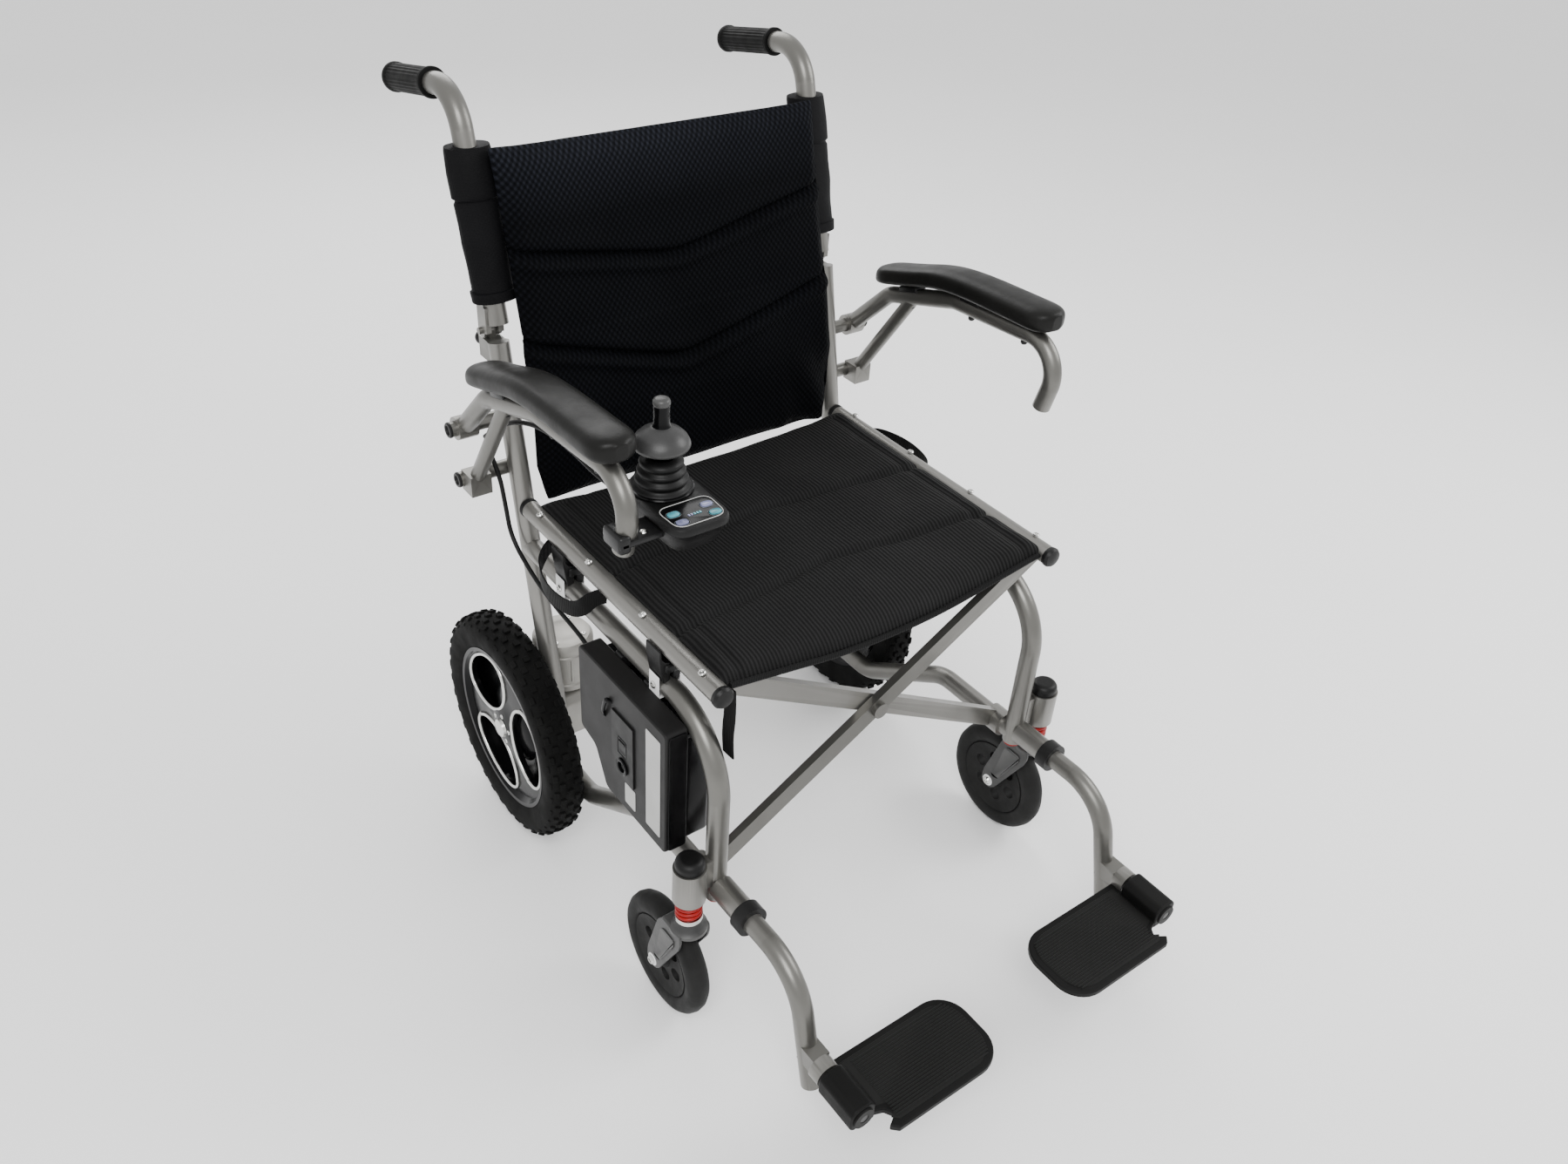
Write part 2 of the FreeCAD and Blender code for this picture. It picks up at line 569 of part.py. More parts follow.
def back(side, s):
    cx = s * across("cane_in")
    foot = V(cx, cane_y(), cane_z())
    bend_z = (size("post_top_z") + size("cane_rise"))
    corner = V(cx, cane_point(bend_z), bend_z)
    run = size("grip_reach")
    end = V(cx, corner.y + run, bend_z - size("grip_drop") * run)
    cane = tube("cane_tube_" + side, "tube_r", [foot, corner, end], size("cane_bend"))
    x = s * size("rail_x")
    block = box("cane_lug_" + side, "lug_wide", "21", "31", V(x, hinge_y() - 2.5, hinge_z() + 15.5))
    eye = cylinder("cane_eye_" + side, "lug_eye_r", "lug_wide",
                   V(x - size("lug_wide") / 2, hinge_y(), hinge_z()), X_AXIS)
    slot = box("cane_slot_" + side, "tongue_wide + 2 * seam", "40", "27.3", V(x, hinge_y(), hinge_z() - 6.35))
    lug = cut("cane_fork_" + side, fuse("cane_lug_all_" + side, block, eye), slot)
    pin_hole = cylinder("lug_hole_" + side, "hinge_pin_r + fit", "60",
                        V(cx - 30, hinge_y(), hinge_z()), X_AXIS)
    keep(cut("back_cane_" + side, fuse("cane_all_" + side, cane, lug), pin_hole), "back_cane_" + side)

    away = (end - corner).normalize()
    grip = cylinder("grip_body_" + side, "grip_r", "grip_len", end + away * 4, -away)
    hole = cylinder("grip_hole_" + side, "tube_r", "grip_len + 20", end, -away)
    keep(cut("push_grip_" + side, grip, hole), "push_grip_" + side)

    low = size("post_top_z") + size("sleeve_up")
    up = V(0, size("cane_lean"), 1)
    outer = cylinder("sleeve_outer_" + side, "sleeve_r", "upper_back_len", V(cx, cane_point(low), low), up)
    inner = cylinder("sleeve_inner_" + side, "tube_r", "upper_back_len + 40",
                     V(cx, cane_point(low - 15), low - 15), up)
    link = box("sleeve_link_" + side, "cane_in - back_in - 0.5", "5", "upper_back_len - 4",
               V(s * (across("cane_in") + across("back_in") + 0.5) / 2,
                 cane_point(low) + size("cane_lean") * size("upper_back_len") / 2 * 0.966,
                 low + size("upper_back_len") / 2 * 0.966),
               -math.degrees(math.atan(size("cane_lean"))))
    cut("back_sleeve_" + side, fuse("sleeve_all_" + side, outer, link), inner)


def armrest(side, s):
    x = s * across("arm_out")
    pivot = V(x, size("arm_y"), size("arm_z"))
    knee = V(x, size("arm_knee_y"), size("arm_knee_z"))
    arch = V(x, size("arm_arch_y"), size("arm_arch_z"))
    front = V(x, size("arm_front_y"), size("arm_front_z"))
    end = V(x, size("arm_end_y"), size("arm_end_z"))
    main = tube("arm_main_" + side, "arm_r", [pivot, knee, arch, front, end], size("arm_bend"))
    barrel = cylinder("arm_barrel_" + side, "stub_r + 5", "24", V(x - 12, pivot.y, pivot.z), X_AXIS)
    low = V(x, size("stop_y") - 14, size("stop_z") + 4)
    high = along_y(knee, arch, size("strut_top_y"))
    strut = cylinder("arm_strut_" + side, "strut_r", "%f" % (high - low).Length, low, high - low)
    latch = box("arm_latch_body_" + side, "26", "26", "26", V(x, size("stop_y") - 13, size("stop_z")))
    bore = cylinder("arm_bore_" + side, "stub_r + fit", "80", V(x - 40, pivot.y, pivot.z), X_AXIS)
    saddle = cylinder("arm_saddle_" + side, "stub_r + seam", "80",
                      V(x - 40, size("stop_y"), size("stop_z")), X_AXIS)
    whole = fuse("arm_all_" + side, main, barrel, strut, latch)
    whole = cut("arm_bored_" + side, whole, bore)
    keep(cut("armrest_tube_" + side, whole, saddle), "armrest_tube_" + side)

    rest = V(-size("pad_wide") / 2, 0, size("arm_r"))
    lift = V(0, 0, size("pad_thick"))
    low_line = [along_y(knee, arch, size("pad_rear_y")) + rest, arch + rest,
                along_y(arch, front, size("pad_front_y")) + rest]
    high_line = [point + lift for point in reversed(low_line)]
    pad = slab("pad_body_" + side, low_line + high_line, "pad_wide", X_AXIS)
    pad = round_edges("pad_round_" + side, pad, 20, lambda e: abs(e.Length - size("pad_thick")) < 0.1)
    keep(cut("armrest_pad_" + side, pad, main), "armrest_pad_" + side)


def seat_and_brace():
    rz = size("rail_z")
    lz = size("low_rail_z")
    rx = size("rail_x")
    rise = math.degrees(math.atan2(rz - lz, 2 * rx))
    length = math.hypot(rz - lz, 2 * rx)
    mid = V(0, 0, (rz + lz) / 2)
    barrels = {}
    rails = {}
    for side, s in SIDES:
        rails[side] = keep(cylinder("seat_rail_" + side, "rail_r", "rail_len",
                                    V(s * rx, size("rail_front_y"), rz), Y_AXIS), "seat_rail_" + side)
        barrels[side] = cylinder("brace_barrel_" + side, "tube_r + barrel_wall", "26",
                                 V(s * rx, size("brace_y") - 13, lz), Y_AXIS)
    hole_span = "90"
    low_tools = {}
    for side, s in SIDES:
        low_tools[side] = cylinder("brace_low_tool_" + side, "tube_r + fit", hole_span,
                                   V(s * rx, size("brace_y") - 45, lz), Y_AXIS)
    bolt_hole = cylinder("bolt_hole", "bolt_r + fit", "60", V(0, size("brace_y") - 30, mid.z), Y_AXIS)
    step = (size("bar_thick") + size("bar_gap")) / 2
    shank = cylinder("bolt_shank", "bolt_r", "2 * bar_thick + bar_gap + 3",
                     V(0, size("brace_y") - size("bar_thick") - size("bar_gap") / 2, mid.z), Y_AXIS)
    head = cylinder("bolt_head", "bolt_r + 5", "7",
                    V(0, size("brace_y") - size("bar_thick") - size("bar_gap") / 2, mid.z), -Y_AXIS)
    nut = cylinder("bolt_nut", "bolt_r + 5", "6",
                   V(0, size("brace_y") + size("bar_thick") + size("bar_gap") / 2 + 1, mid.z), Y_AXIS)
    bars = {}
    trim = box("bar_trim", "2 * rail_x + 60", "80", "40", V(0, size("brace_y"), rz - 3.5 + 20))
    for name, low_side, high_side, dy, tilt in (
            ("brace_bar_a", "right", "left", -step, -rise),
            ("brace_bar_b", "left", "right", step, rise)):
        bar = box(name + "_flat", "%f" % length, "bar_thick", "bar_high",
                  V(0, size("brace_y") + dy, mid.z), tilt, Y_AXIS)
        whole = fuse(name + "_all", bar, barrels[low_side])
        bars[name] = cut(name + "_cut", whole, low_tools[low_side], rails[high_side], trim)
    keep(fuse("brace_bar_a", bars["brace_bar_a"], shank, head, nut), "brace_bar_a")
    keep(cut("brace_bar_b", bars["brace_bar_b"], bolt_hole), "brace_bar_b")

    sling = box("seat_upholstery", "2 * (rail_x + seat_in)", "seat_len", "seat_thick",
                V(0, size("rail_front_y") + 6 + size("seat_len") / 2, rz + 3))
    keep(sling, "seat_upholstery")
    up = math.degrees(math.atan(size("post_lean")))
    low_z = size("post_top_z") - 186
    reach = size("lower_back_len") / 2
    middle = V(0, post_point(low_z) + reach * math.sin(math.radians(up)),
               low_z + reach * math.cos(math.radians(up)))
    keep(box("back_upholstery_lower", "2 * (rail_x + back_in) - 8", "back_thick", "lower_back_len", middle, -up),
         "back_upholstery_lower")
    lean = math.degrees(math.atan(size("cane_lean")))
    low_z = size("post_top_z") + size("sleeve_up")
    reach = size("upper_back_len") / 2
    middle = V(0, cane_point(low_z) + reach * math.sin(math.radians(lean)),
               low_z + reach * math.cos(math.radians(lean)))
    panel = box("upper_panel", "2 * (rail_x + back_in) + 2", "back_thick", "upper_back_len", middle, -lean)
    sleeves = [doc.getObject("back_sleeve_" + side) for side, s in SIDES]
    keep(fuse("back_upholstery_upper", panel, *sleeves), "back_upholstery_upper")


def controller():
    cx = -across("ctl_in")
    cy = size("ctl_y")
    top = size("ctl_z")
    sy = size("stick_y")
    case = box("ctl_block", "ctl_wide", "ctl_len", "ctl_high", V(cx, cy, top - size("ctl_high") / 2))
    case = round_edges("ctl_round", case, 9,
                       lambda e: abs(e.Length - size("ctl_high")) < 0.1)
    well = cylinder("ctl_well", "boot_top_r - 3", "30", V(cx, sy, top - 20), Z_AXIS)
    tools = [well]
    spots = (("power", -19, -26), ("horn", 19, -26), ("slower", -19, -42), ("faster", 19, -42))
    for word, dx, dy in spots:
        place = V(cx + dx, cy + dy, top)
        tools.append(box("pocket_" + word, "button_wide + 2 * seam", "button_len + 2 * seam", "12", place))
        cap = box("button_%s" % word, "button_wide", "button_len", "button_high",
                  V(place.x, place.y, top + 1.5 - size("button_high") / 2))
        keep(cap, "button_" + word)
    arm_x = -across("arm_out")
    block = box("ctl_bracket_body", "%f" % (cx - size("ctl_wide") / 2 - arm_x + 15), "34", "20",
                V((cx - size("ctl_wide") / 2 + arm_x - 15) / 2, size("arm_end_y") - 3, top - 18))
    arm_tool = doc.getObject("armrest_tube_right")
    whole = fuse("ctl_all", case, block)
    keep(cut("controller_case", whole, arm_tool, *tools), "controller_case")

    boot = cone("boot_outer", "boot_r", "boot_top_r", "boot_high", V(cx, sy, top), Z_AXIS)
    boot_hole = cone("boot_hole", "boot_r - 4", "boot_top_r - 4", "boot_high + 0.2",
                     V(cx, sy, top - 0.1), Z_AXIS)
    keep(cut("joystick_boot", boot, boot_hole), "joystick_boot")
    ring = cylinder("gimbal_outer", "14", "7", V(cx, sy, top + 4.5), Z_AXIS)
    ring_hole = cylinder("gimbal_hole", "9", "20", V(cx, sy, top), Z_AXIS)
    keep(cut("joystick_gimbal", ring, ring_hole), "joystick_gimbal")
    stem = cylinder("stick_stem", "stick_r", "50", V(cx, sy, top + 5), Z_AXIS)
    skirt = cone("stick_skirt", "skirt_r", "13", "18", V(cx, sy, top + 46), Z_AXIS)
    knob = cylinder("stick_knob", "knob_r", "36", V(cx, sy, top + 62), Z_AXIS)
    keep(fuse("joystick", stem, skirt, knob), "joystick")


def battery_slab(name, x, thick, front_y, high):
    """Battery outline with its rear lower corner taken off."""
    rear_y = size("bat_y") + size("bat_len") / 2
    low = size("bat_z")
    corner = size("bat_chamfer")
    outline = [V(x, front_y, low), V(x, rear_y - 1.5 * corner, low), V(x, rear_y, low + corner),
               V(x, rear_y, low + high), V(x, front_y, low + high)]
    return slab(name, outline, thick, X_AXIS)


def battery():
    x = -across("bat_out")
    inner = battery_slab("battery_core", x - size("bat_wide") / 2 + size("cover_wide"),
                         "bat_wide - cover_wide", size("bat_y") - size("bat_len") / 2, size("bat_high"))
    cover = battery_slab("battery_cover", x - size("bat_wide") / 2, "cover_wide",
                         size("bat_y") - size("bat_len") / 2 - 7, size("cover_high"))
    face = x - size("bat_wide") / 2
    rocker_spot = V(face, size("bat_y") - 10, size("bat_z") + 96)
    well = box("rocker_well", "16", "15", "22", rocker_spot)
    panel = box("panel_plate", "3", "46", "92", V(face - 1.5, size("bat_y") - 10, size("bat_z") + 92))
    rocker = box("rocker_body", "8", "13", "19", V(face + 0.6, size("bat_y") - 10, size("bat_z") + 96))
    keep(round_edges("battery_rocker", rocker, 3, lambda e: e.Length < 8.1), "battery_rocker")
    hooks = []
    for count, hook_y in enumerate((size("bat_y") - 12, size("bat_y") + 48)):
        hooks.append(box("battery_hook_%d" % count, "18", "20", "30",
                         V(-size("rail_x"), hook_y, size("bat_z") + size("bat_high") + 15)))
    rail_tool = doc.getObject("clip_under_right")
    whole = fuse("battery_all", inner, cover, panel, *hooks)
    keep(cut("battery_case", whole, well, rail_tool), "battery_case")


def small_parts():
    x = -size("rail_x")
    knob = cylinder("knob_body", "9", "18", V(x, hinge_y() + 9.5, hinge_z() - 20), Y_AXIS)
    keep(knob, "back_release_knob")
    arm_x = -across("arm_out")
    knee_z = size("arm_knee_z")
    pivot = V(arm_x + 18, size("arm_y") - 14, size("arm_z") - 12)
    case_back = size("ctl_y") + size("ctl_len") / 2
    battery_back = size("bat_y") + size("bat_len") / 2
    front = [V(arm_x + 38, case_back + 2.5, size("ctl_z") - 20), V(arm_x + 27, 0, knee_z - 10),
             V(arm_x + 21, 40, knee_z + 2), V(arm_x + 19, 100, knee_z), V(arm_x + 19, 160, knee_z - 20),
             V(arm_x + 18, 210, knee_z - 50), pivot]
    rear = [pivot + V(0, -1, -9), V(x - 27, 236, 535), V(x - 24, 231, 490), V(x - 22, 226, 445),
            V(x - 22, 175, 420), V(x - 22, 120, 408), V(x - 20, 75, 402), V(x - 18, 44, 392),
            V(x - 16, battery_back + 3, 380)]
    cords = []
    for name, points in (("cable_armrest", front), ("cable_frame", rear)):
        radii = cord_radii(points)
        print(name, "arc radii", [round(radius, 1) for radius in radii])
        cords.append(keep(tube(name, "cable_r", points, radii), name))
    doc.recompute()
    for cord in cords:
        spine = doc.getObject(cord.Name + "_path").Shape.Length
        ratio = cord.Shape.Volume / (math.pi * size("cable_r") ** 2 * spine)
        print(cord.Name, "length", round(spine, 1), "volume over section times length", round(ratio, 4))


def cord_radii(points):
    """For each corner, 0.45 of the shorter run over the tangent of half the turn."""
    radii = []
    for before, corner, after in zip(points, points[1:], points[2:]):
        turn = (corner - before).getAngle(after - corner)
        run = min((corner - before).Length, (after - corner).Length)
        radii.append(0.45 * run / math.tan(turn / 2))
    return radii


for side, s in SIDES:
    side_frame(side, s)
    caster(side, s)
    drive(side, s)
    footrest(side, s)
    back(side, s)
    armrest(side, s)
seat_and_brace()
controller()
battery()
small_parts()
doc.recompute()

for piece in FINAL:
    shape = piece.Shape
    bad = "Invalid" in piece.State or "Error" in piece.State
    if bad or shape.isNull() or not shape.isValid() or not shape.Solids:
        print("PROBLEM", piece.Label, piece.State, shape.isNull() or shape.isValid())
        continue
    shape.exportStep("parts/%s.step" % piece.Label)
print("nodes", len(FINAL))
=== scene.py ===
import math

import bmesh
import bpy
import numpy as np
from mathutils import Matrix, Vector, noise


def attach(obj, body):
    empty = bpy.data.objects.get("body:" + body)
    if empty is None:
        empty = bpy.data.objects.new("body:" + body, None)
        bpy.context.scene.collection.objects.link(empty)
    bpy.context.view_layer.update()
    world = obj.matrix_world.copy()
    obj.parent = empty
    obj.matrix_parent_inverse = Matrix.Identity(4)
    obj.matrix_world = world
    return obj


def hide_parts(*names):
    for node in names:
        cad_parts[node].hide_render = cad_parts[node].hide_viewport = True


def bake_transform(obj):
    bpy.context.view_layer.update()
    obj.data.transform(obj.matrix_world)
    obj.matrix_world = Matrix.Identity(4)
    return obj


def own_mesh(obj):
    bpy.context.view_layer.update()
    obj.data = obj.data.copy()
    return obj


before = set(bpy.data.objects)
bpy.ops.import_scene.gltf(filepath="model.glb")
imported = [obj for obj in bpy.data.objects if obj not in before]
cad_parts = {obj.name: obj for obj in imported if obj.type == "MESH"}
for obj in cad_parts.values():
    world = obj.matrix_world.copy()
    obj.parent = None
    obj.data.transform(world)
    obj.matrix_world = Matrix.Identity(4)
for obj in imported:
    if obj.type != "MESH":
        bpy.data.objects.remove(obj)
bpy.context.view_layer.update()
MM = 0.001  # the modelling functions take millimetres, the cloth functions metres
SIDES = (("right", -1), ("left", 1))
X = (1, 0, 0)
Y = (0, 1, 0)
Z = (0, 0, 1)


# ------------------------------------------------------------------ materials
class Look:
    """A principled material built from nodes, with all its patterns in object space."""

    def __init__(self, name, color, rough, metal=0.0, shine=0.5):
        self.mat = bpy.data.materials.new(name)
        self.mat.use_nodes = True
        self.tree = self.mat.node_tree
        self.bsdf = self.tree.nodes["Principled BSDF"]
        self.color = color
        self.rough = rough
        self.shade({"Base Color": (*color, 1), "Roughness": rough, "Metallic": metal,
            "Specular IOR Level": shine})
        self.coord = self.tree.nodes.new("ShaderNodeTexCoord")
        self.base = None
        self.normal = None

    def shade(self, values):
        """Values of the shader's own sockets."""
        for socket, value in values.items():
            self.bsdf.inputs[socket].default_value = value
        return self

    def link(self, a, b):
        self.tree.links.new(a, b)

    def node(self, kind, **values):
        """A node with its inputs and attributes set by name."""
        made = self.tree.nodes.new(kind)
        for key, value in values.items():
            if key in made.inputs:
                made.inputs[key].default_value = value
            else:
                setattr(made, key, value)
        return made

    def pattern(self, kind, output, stretch=(1, 1, 1), turn=(0, 0, 0), **values):
        """A texture in object space, stretched and turned."""
        made = self.node(kind, **values)
        where = self.node("ShaderNodeMapping", Scale=stretch, Rotation=turn)
        self.link(self.coord.outputs["Object"], where.inputs["Vector"])
        self.link(where.outputs["Vector"], made.inputs["Vector"])
        return made.outputs[output]

    def noise(self, scale, detail=3.0, stretch=(1, 1, 1)):
        return self.pattern("ShaderNodeTexNoise", "Fac", stretch, Scale=scale, Detail=detail)

    def wave(self, pitch, direction="X", turn=(0, 0, 0), distort=0.0):
        """Lines at a pitch in millimetres."""
        scale = 1 / (pitch * MM * 3.18)
        return self.pattern("ShaderNodeTexWave", "Fac", turn=turn, Scale=scale, Distortion=distort,
            bands_direction=direction)

    def cells(self, scale, feature="F1"):
        return self.pattern("ShaderNodeTexVoronoi", "Distance", Scale=scale, feature=feature)

    def ranged(self, value, low, high, start=0.3, stop=0.7):
        made = self.node("ShaderNodeMapRange", **{"From Min": start, "From Max": stop, "To Min": low,
            "To Max": high})
        self.link(value, made.inputs["Value"])
        return made.outputs["Result"]

    def mottle(self, scale, spread, rough_spread):
        """Uneven colour and gloss, as from handling and dust."""
        fac = self.noise(scale, 4.0)
        ramp = self.node("ShaderNodeValToRGB")
        dark, light = ramp.color_ramp.elements
        dark.color = (*(c * (1 - spread) for c in self.color), 1)
        light.color = (*(min(1.0, c * (1 + spread)) for c in self.color), 1)
        dark.position = 0.35
        light.position = 0.65
        self.link(fac, ramp.inputs["Fac"])
        self.base = ramp.outputs["Color"]
        self.link(self.base, self.bsdf.inputs["Base Color"])
        gloss = self.ranged(self.noise(scale * 2.3), self.rough - rough_spread, self.rough + rough_spread)
        self.link(gloss, self.bsdf.inputs["Roughness"])
        return self

    def wear(self, tone, amount):
        """Edges rubbed to another grey or colour."""
        geometry = self.node("ShaderNodeNewGeometry")
        edge = self.ranged(geometry.outputs["Pointiness"], 0.0, amount, 0.52, 0.62)
        mix = self.node("ShaderNodeMix", data_type="RGBA")
        self.link(edge, mix.inputs["Factor"])
        self.link(self.base, mix.inputs[6])
        mix.inputs[7].default_value = (*tone, 1)
        self.link(mix.outputs[2], self.bsdf.inputs["Base Color"])
        return self

    def stripe(self, value, low, high, start=0.2, stop=0.8):
        """The colour so far, darker and lighter with a pattern, as thread catches light."""
        mix = self.node("ShaderNodeMix", data_type="RGBA", blend_type="MULTIPLY", Factor=1.0)
        self.link(self.base, mix.inputs[6])
        self.link(self.ranged(value, low, high, start, stop), mix.inputs[7])
        self.base = mix.outputs[2]
        self.link(self.base, self.bsdf.inputs["Base Color"])
        return self

    def bump(self, height, depth):
        """Relief of a depth in millimetres, stacked on what is there already."""
        made = self.node("ShaderNodeBump", Distance=depth * MM, Strength=1.0)
        self.link(height, made.inputs["Height"])
        if self.normal:
            self.link(self.normal, made.inputs["Normal"])
        self.normal = made.outputs["Normal"]
        self.link(self.normal, self.bsdf.inputs["Normal"])
        return self

    def grain(self, scale, depth, detail=3.0, stretch=(1, 1, 1)):
        return self.bump(self.noise(scale, detail, stretch), depth)

    def coat(self, weight, rough):
        return self.shade({"Coat Weight": weight, "Coat Roughness": rough})

    def sheen(self, weight, rough, tint=(1, 1, 1)):
        return self.shade({"Sheen Weight": weight, "Sheen Roughness": rough, "Sheen Tint": (*tint, 1)})


def tone(value):
    """A neutral grey."""
    return (value, value, value)


def make_looks():
    looks = {}

    def add(key, name, *values):
        look = Look(name, *values)
        looks[key] = look.mat
        return look

    paint = add("paint", "silver_paint", (0.142, 0.139, 0.128), 0.36, 0.8)
    paint.mottle(14, 0.05, 0.05).wear((0.42, 0.41, 0.39), 0.3).coat(0.1, 0.18)
    paint.grain(900, 0.06, 2).grain(35, 0.2, 2)
    bright = add("bright", "bright_metal", (0.66, 0.66, 0.64), 0.22, 1.0)
    bright.mottle(30, 0.06, 0.05).grain(400, 0.05, 3, (1, 1, 6))
    add("cast", "cast_aluminium", (0.36, 0.35, 0.325), 0.46, 0.5).mottle(20, 0.08, 0.06).grain(700, 0.2)
    plastic = add("plastic", "black_plastic", tone(0.004), 0.42, 0.0, 0.2)
    plastic.mottle(25, 0.2, 0.06).wear(tone(0.018), 0.4).bump(plastic.cells(1500), 0.05)
    gloss = add("gloss", "gloss_plastic", (0.0022, 0.0022, 0.0025), 0.22, 0.0, 0.12)
    gloss.mottle(30, 0.15, 0.04).coat(0.03, 0.08).grain(60, 0.06, 2)
    metal = add("black_metal", "black_metal", (0.006, 0.006, 0.0063), 0.34, 0.2, 0.25)
    metal.mottle(30, 0.2, 0.07).wear(tone(0.045), 0.4).grain(800, 0.1, 2)
    grey = add("grey", "grey_metal", tone(0.04), 0.38, 0.3, 0.3)
    grey.mottle(24, 0.15, 0.06).wear((0.16, 0.16, 0.155), 0.4).grain(700, 0.1, 2)
    tyre = add("tyre", "tyre_rubber", (0.0048, 0.0048, 0.0046), 0.74, 0.0, 0.08)
    tyre.mottle(22, 0.3, 0.08).grain(600, 0.3, 4)
    caster_tyre = add("caster_tyre", "caster_rubber", (0.0115, 0.0115, 0.0112), 0.6, 0.0, 0.13)
    caster_tyre.mottle(26, 0.22, 0.08).grain(500, 0.2, 4)
    add("grip", "grip_rubber", (0.0042, 0.0042, 0.0041), 0.6, 0.0,
        0.09).mottle(40, 0.2, 0.06).grain(900, 0.15)
    pad = add("pad", "pad_skin", (0.0065, 0.0064, 0.0059), 0.40, 0.0, 0.12)
    pad.mottle(18, 0.12, 0.06).coat(0.04, 0.35).bump(pad.cells(420, "DISTANCE_TO_EDGE"), 0.12).grain(60, 0.4)
    add("boot", "boot_rubber", tone(0.005), 0.45, 0.0, 0.2).mottle(50, 0.2, 0.05).grain(500, 0.1, 2)
    red = add("red", "red_spring", (0.27, 0.004, 0.004), 0.33, 0.0, 0.2)
    red.mottle(40, 0.15, 0.06).coat(0.1, 0.12).grain(300, 0.1, 2)
    shell = add("shell", "battery_shell", (0.01, 0.0097, 0.0097), 0.45, 0.0, 0.17)
    shell.mottle(12, 0.08, 0.05).bump(shell.cells(1200), 0.08)
    add("label", "plain_label", (0.40, 0.40, 0.39), 0.5).mottle(16, 0.06, 0.04).grain(200, 0.04, 2)
    for key, color in (("teal", (0.06, 0.26, 0.31)), ("lilac", (0.17, 0.18, 0.30)),
            ("slate", (0.05, 0.058, 0.065))):
        add(key, key + "_key", color, 0.3).mottle(90, 0.25, 0.05).coat(0.3, 0.1).grain(400, 0.05, 2)
    add("cable", "cable_jacket", tone(0.004), 0.5, 0.0, 0.2).mottle(60, 0.2, 0.05).grain(900, 0.1, 2)

    seat = add("seat_cloth", "seat_cloth", tone(0.004), 0.74, 0.0, 0.13)
    seat.mottle(7, 0.22, 0.06).sheen(0.02, 0.45, tone(0.7))
    ribs = seat.wave(5, "X", distort=0.35)
    seat.stripe(ribs, 0.55, 2.1).bump(ribs, 1.2)
    seat.bump(seat.wave(1.2, "Y", distort=0.4), 0.12).grain(14, 1.6, 3, (1, 2.4, 1))
    back = add("back_cloth", "back_cloth", (0.001, 0.0011, 0.0015), 0.78, 0.0, 0.04)
    back.mottle(6, 0.25, 0.05).sheen(0.004, 0.5, (0.55, 0.6, 0.68))
    for turn in (38, -38):
        knit = back.wave(5.6, "X", (0, math.radians(turn), 0), 0.5)
        back.stripe(knit, 0.75, 1.7).bump(knit, 0.7)
    # Lighter towards the top, up to 4.5 times from 0.81 to 0.90 m, so that the knit's painted thread light
    # stands out there.
    level = back.node("ShaderNodeSeparateXYZ")
    back.link(back.coord.outputs["Object"], level.inputs["Vector"])
    back.stripe(level.outputs["Z"], 1.0, 4.5, 0.81, 0.90).grain(10, 1.8, 3, (1, 1, 1.6))
    nylon = add("nylon", "nylon_cloth", (0.0019, 0.0019, 0.0024), 0.58, 0.0, 0.1)
    nylon.mottle(9, 0.2, 0.06).sheen(0.015, 0.4, (0.6, 0.62, 0.68))
    for direction in ("X", "Z"):
        nylon.bump(nylon.wave(1.3, direction, distort=0.3), 0.2)
    nylon.grain(22, 2, 3, (1, 1, 0.5))
    web = add("webbing", "webbing", tone(0.0025), 0.66, 0.0, 0.12)
    web.mottle(30, 0.2, 0.05).sheen(0.02, 0.5).bump(web.wave(2.2, "X", (0, 0, math.radians(45)), 0.3), 0.3)
    deck = add("deck", "footplate_plastic", (0.003, 0.003, 0.0029), 0.5, 0.0, 0.11)
    deck.mottle(16, 0.25, 0.07).wear((0.022, 0.022, 0.021), 0.5).bump(deck.cells(1300), 0.08)
    add("floor", "studio_floor", tone(0.95), 0.75).mottle(2, 0.006, 0.03)
    return looks


LOOKS = make_looks()


# ------------------------------------------------------------------ mesh tools
def place(name, data):
    """A new object in the scene."""
    obj = bpy.data.objects.new(name, data)
    bpy.context.scene.collection.objects.link(obj)
    return obj


def from_bmesh(name, bm, sharp=35.0, unit=MM):
    """An object in metres from a bmesh, smooth with its sharp edges marked."""
    bmesh.ops.recalc_face_normals(bm, faces=bm.faces)
    mesh = bpy.data.meshes.new(name)
    bm.to_mesh(mesh)
    bm.free()
    mesh.transform(Matrix.Scale(unit, 4))
    mesh.shade_smooth()
    mesh.set_sharp_from_angle(angle=math.radians(sharp))
    return place(name, mesh)


def finish(obj, look, body=None, slot=None, *replaced):
    """Material, body and the CAD nodes that the piece stands for; the slot is not used."""
    if not obj.data.materials:
        obj.data.materials.append(LOOKS[look])
    if body:
        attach(obj, body)
    if replaced:
        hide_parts(*replaced)
    return obj


def apply_modifiers(obj):
    """The object's mesh with its modifiers made real."""
    bpy.context.view_layer.update()
    shown = obj.evaluated_get(bpy.context.evaluated_depsgraph_get())
    mesh = bpy.data.meshes.new_from_object(shown)
    obj.modifiers.clear()
    obj.data = mesh
    return obj


def subdivide(obj):
    """One level of smoothing, made real."""
    mod = obj.modifiers.new("smooth", "SUBSURF")
    mod.levels = mod.render_levels = 1
    apply_modifiers(obj)
    obj.data.shade_smooth()
    return obj


def join(name, pieces):
    """Several meshes in one object, materials kept."""
    for piece in pieces:
        apply_modifiers(piece)
    base = pieces[0]
    with bpy.context.temp_override(active_object=base, object=base, selected_objects=pieces,
            selected_editable_objects=pieces):
        bpy.ops.object.join()
    base.name = name
    base.data.name = name
    return base


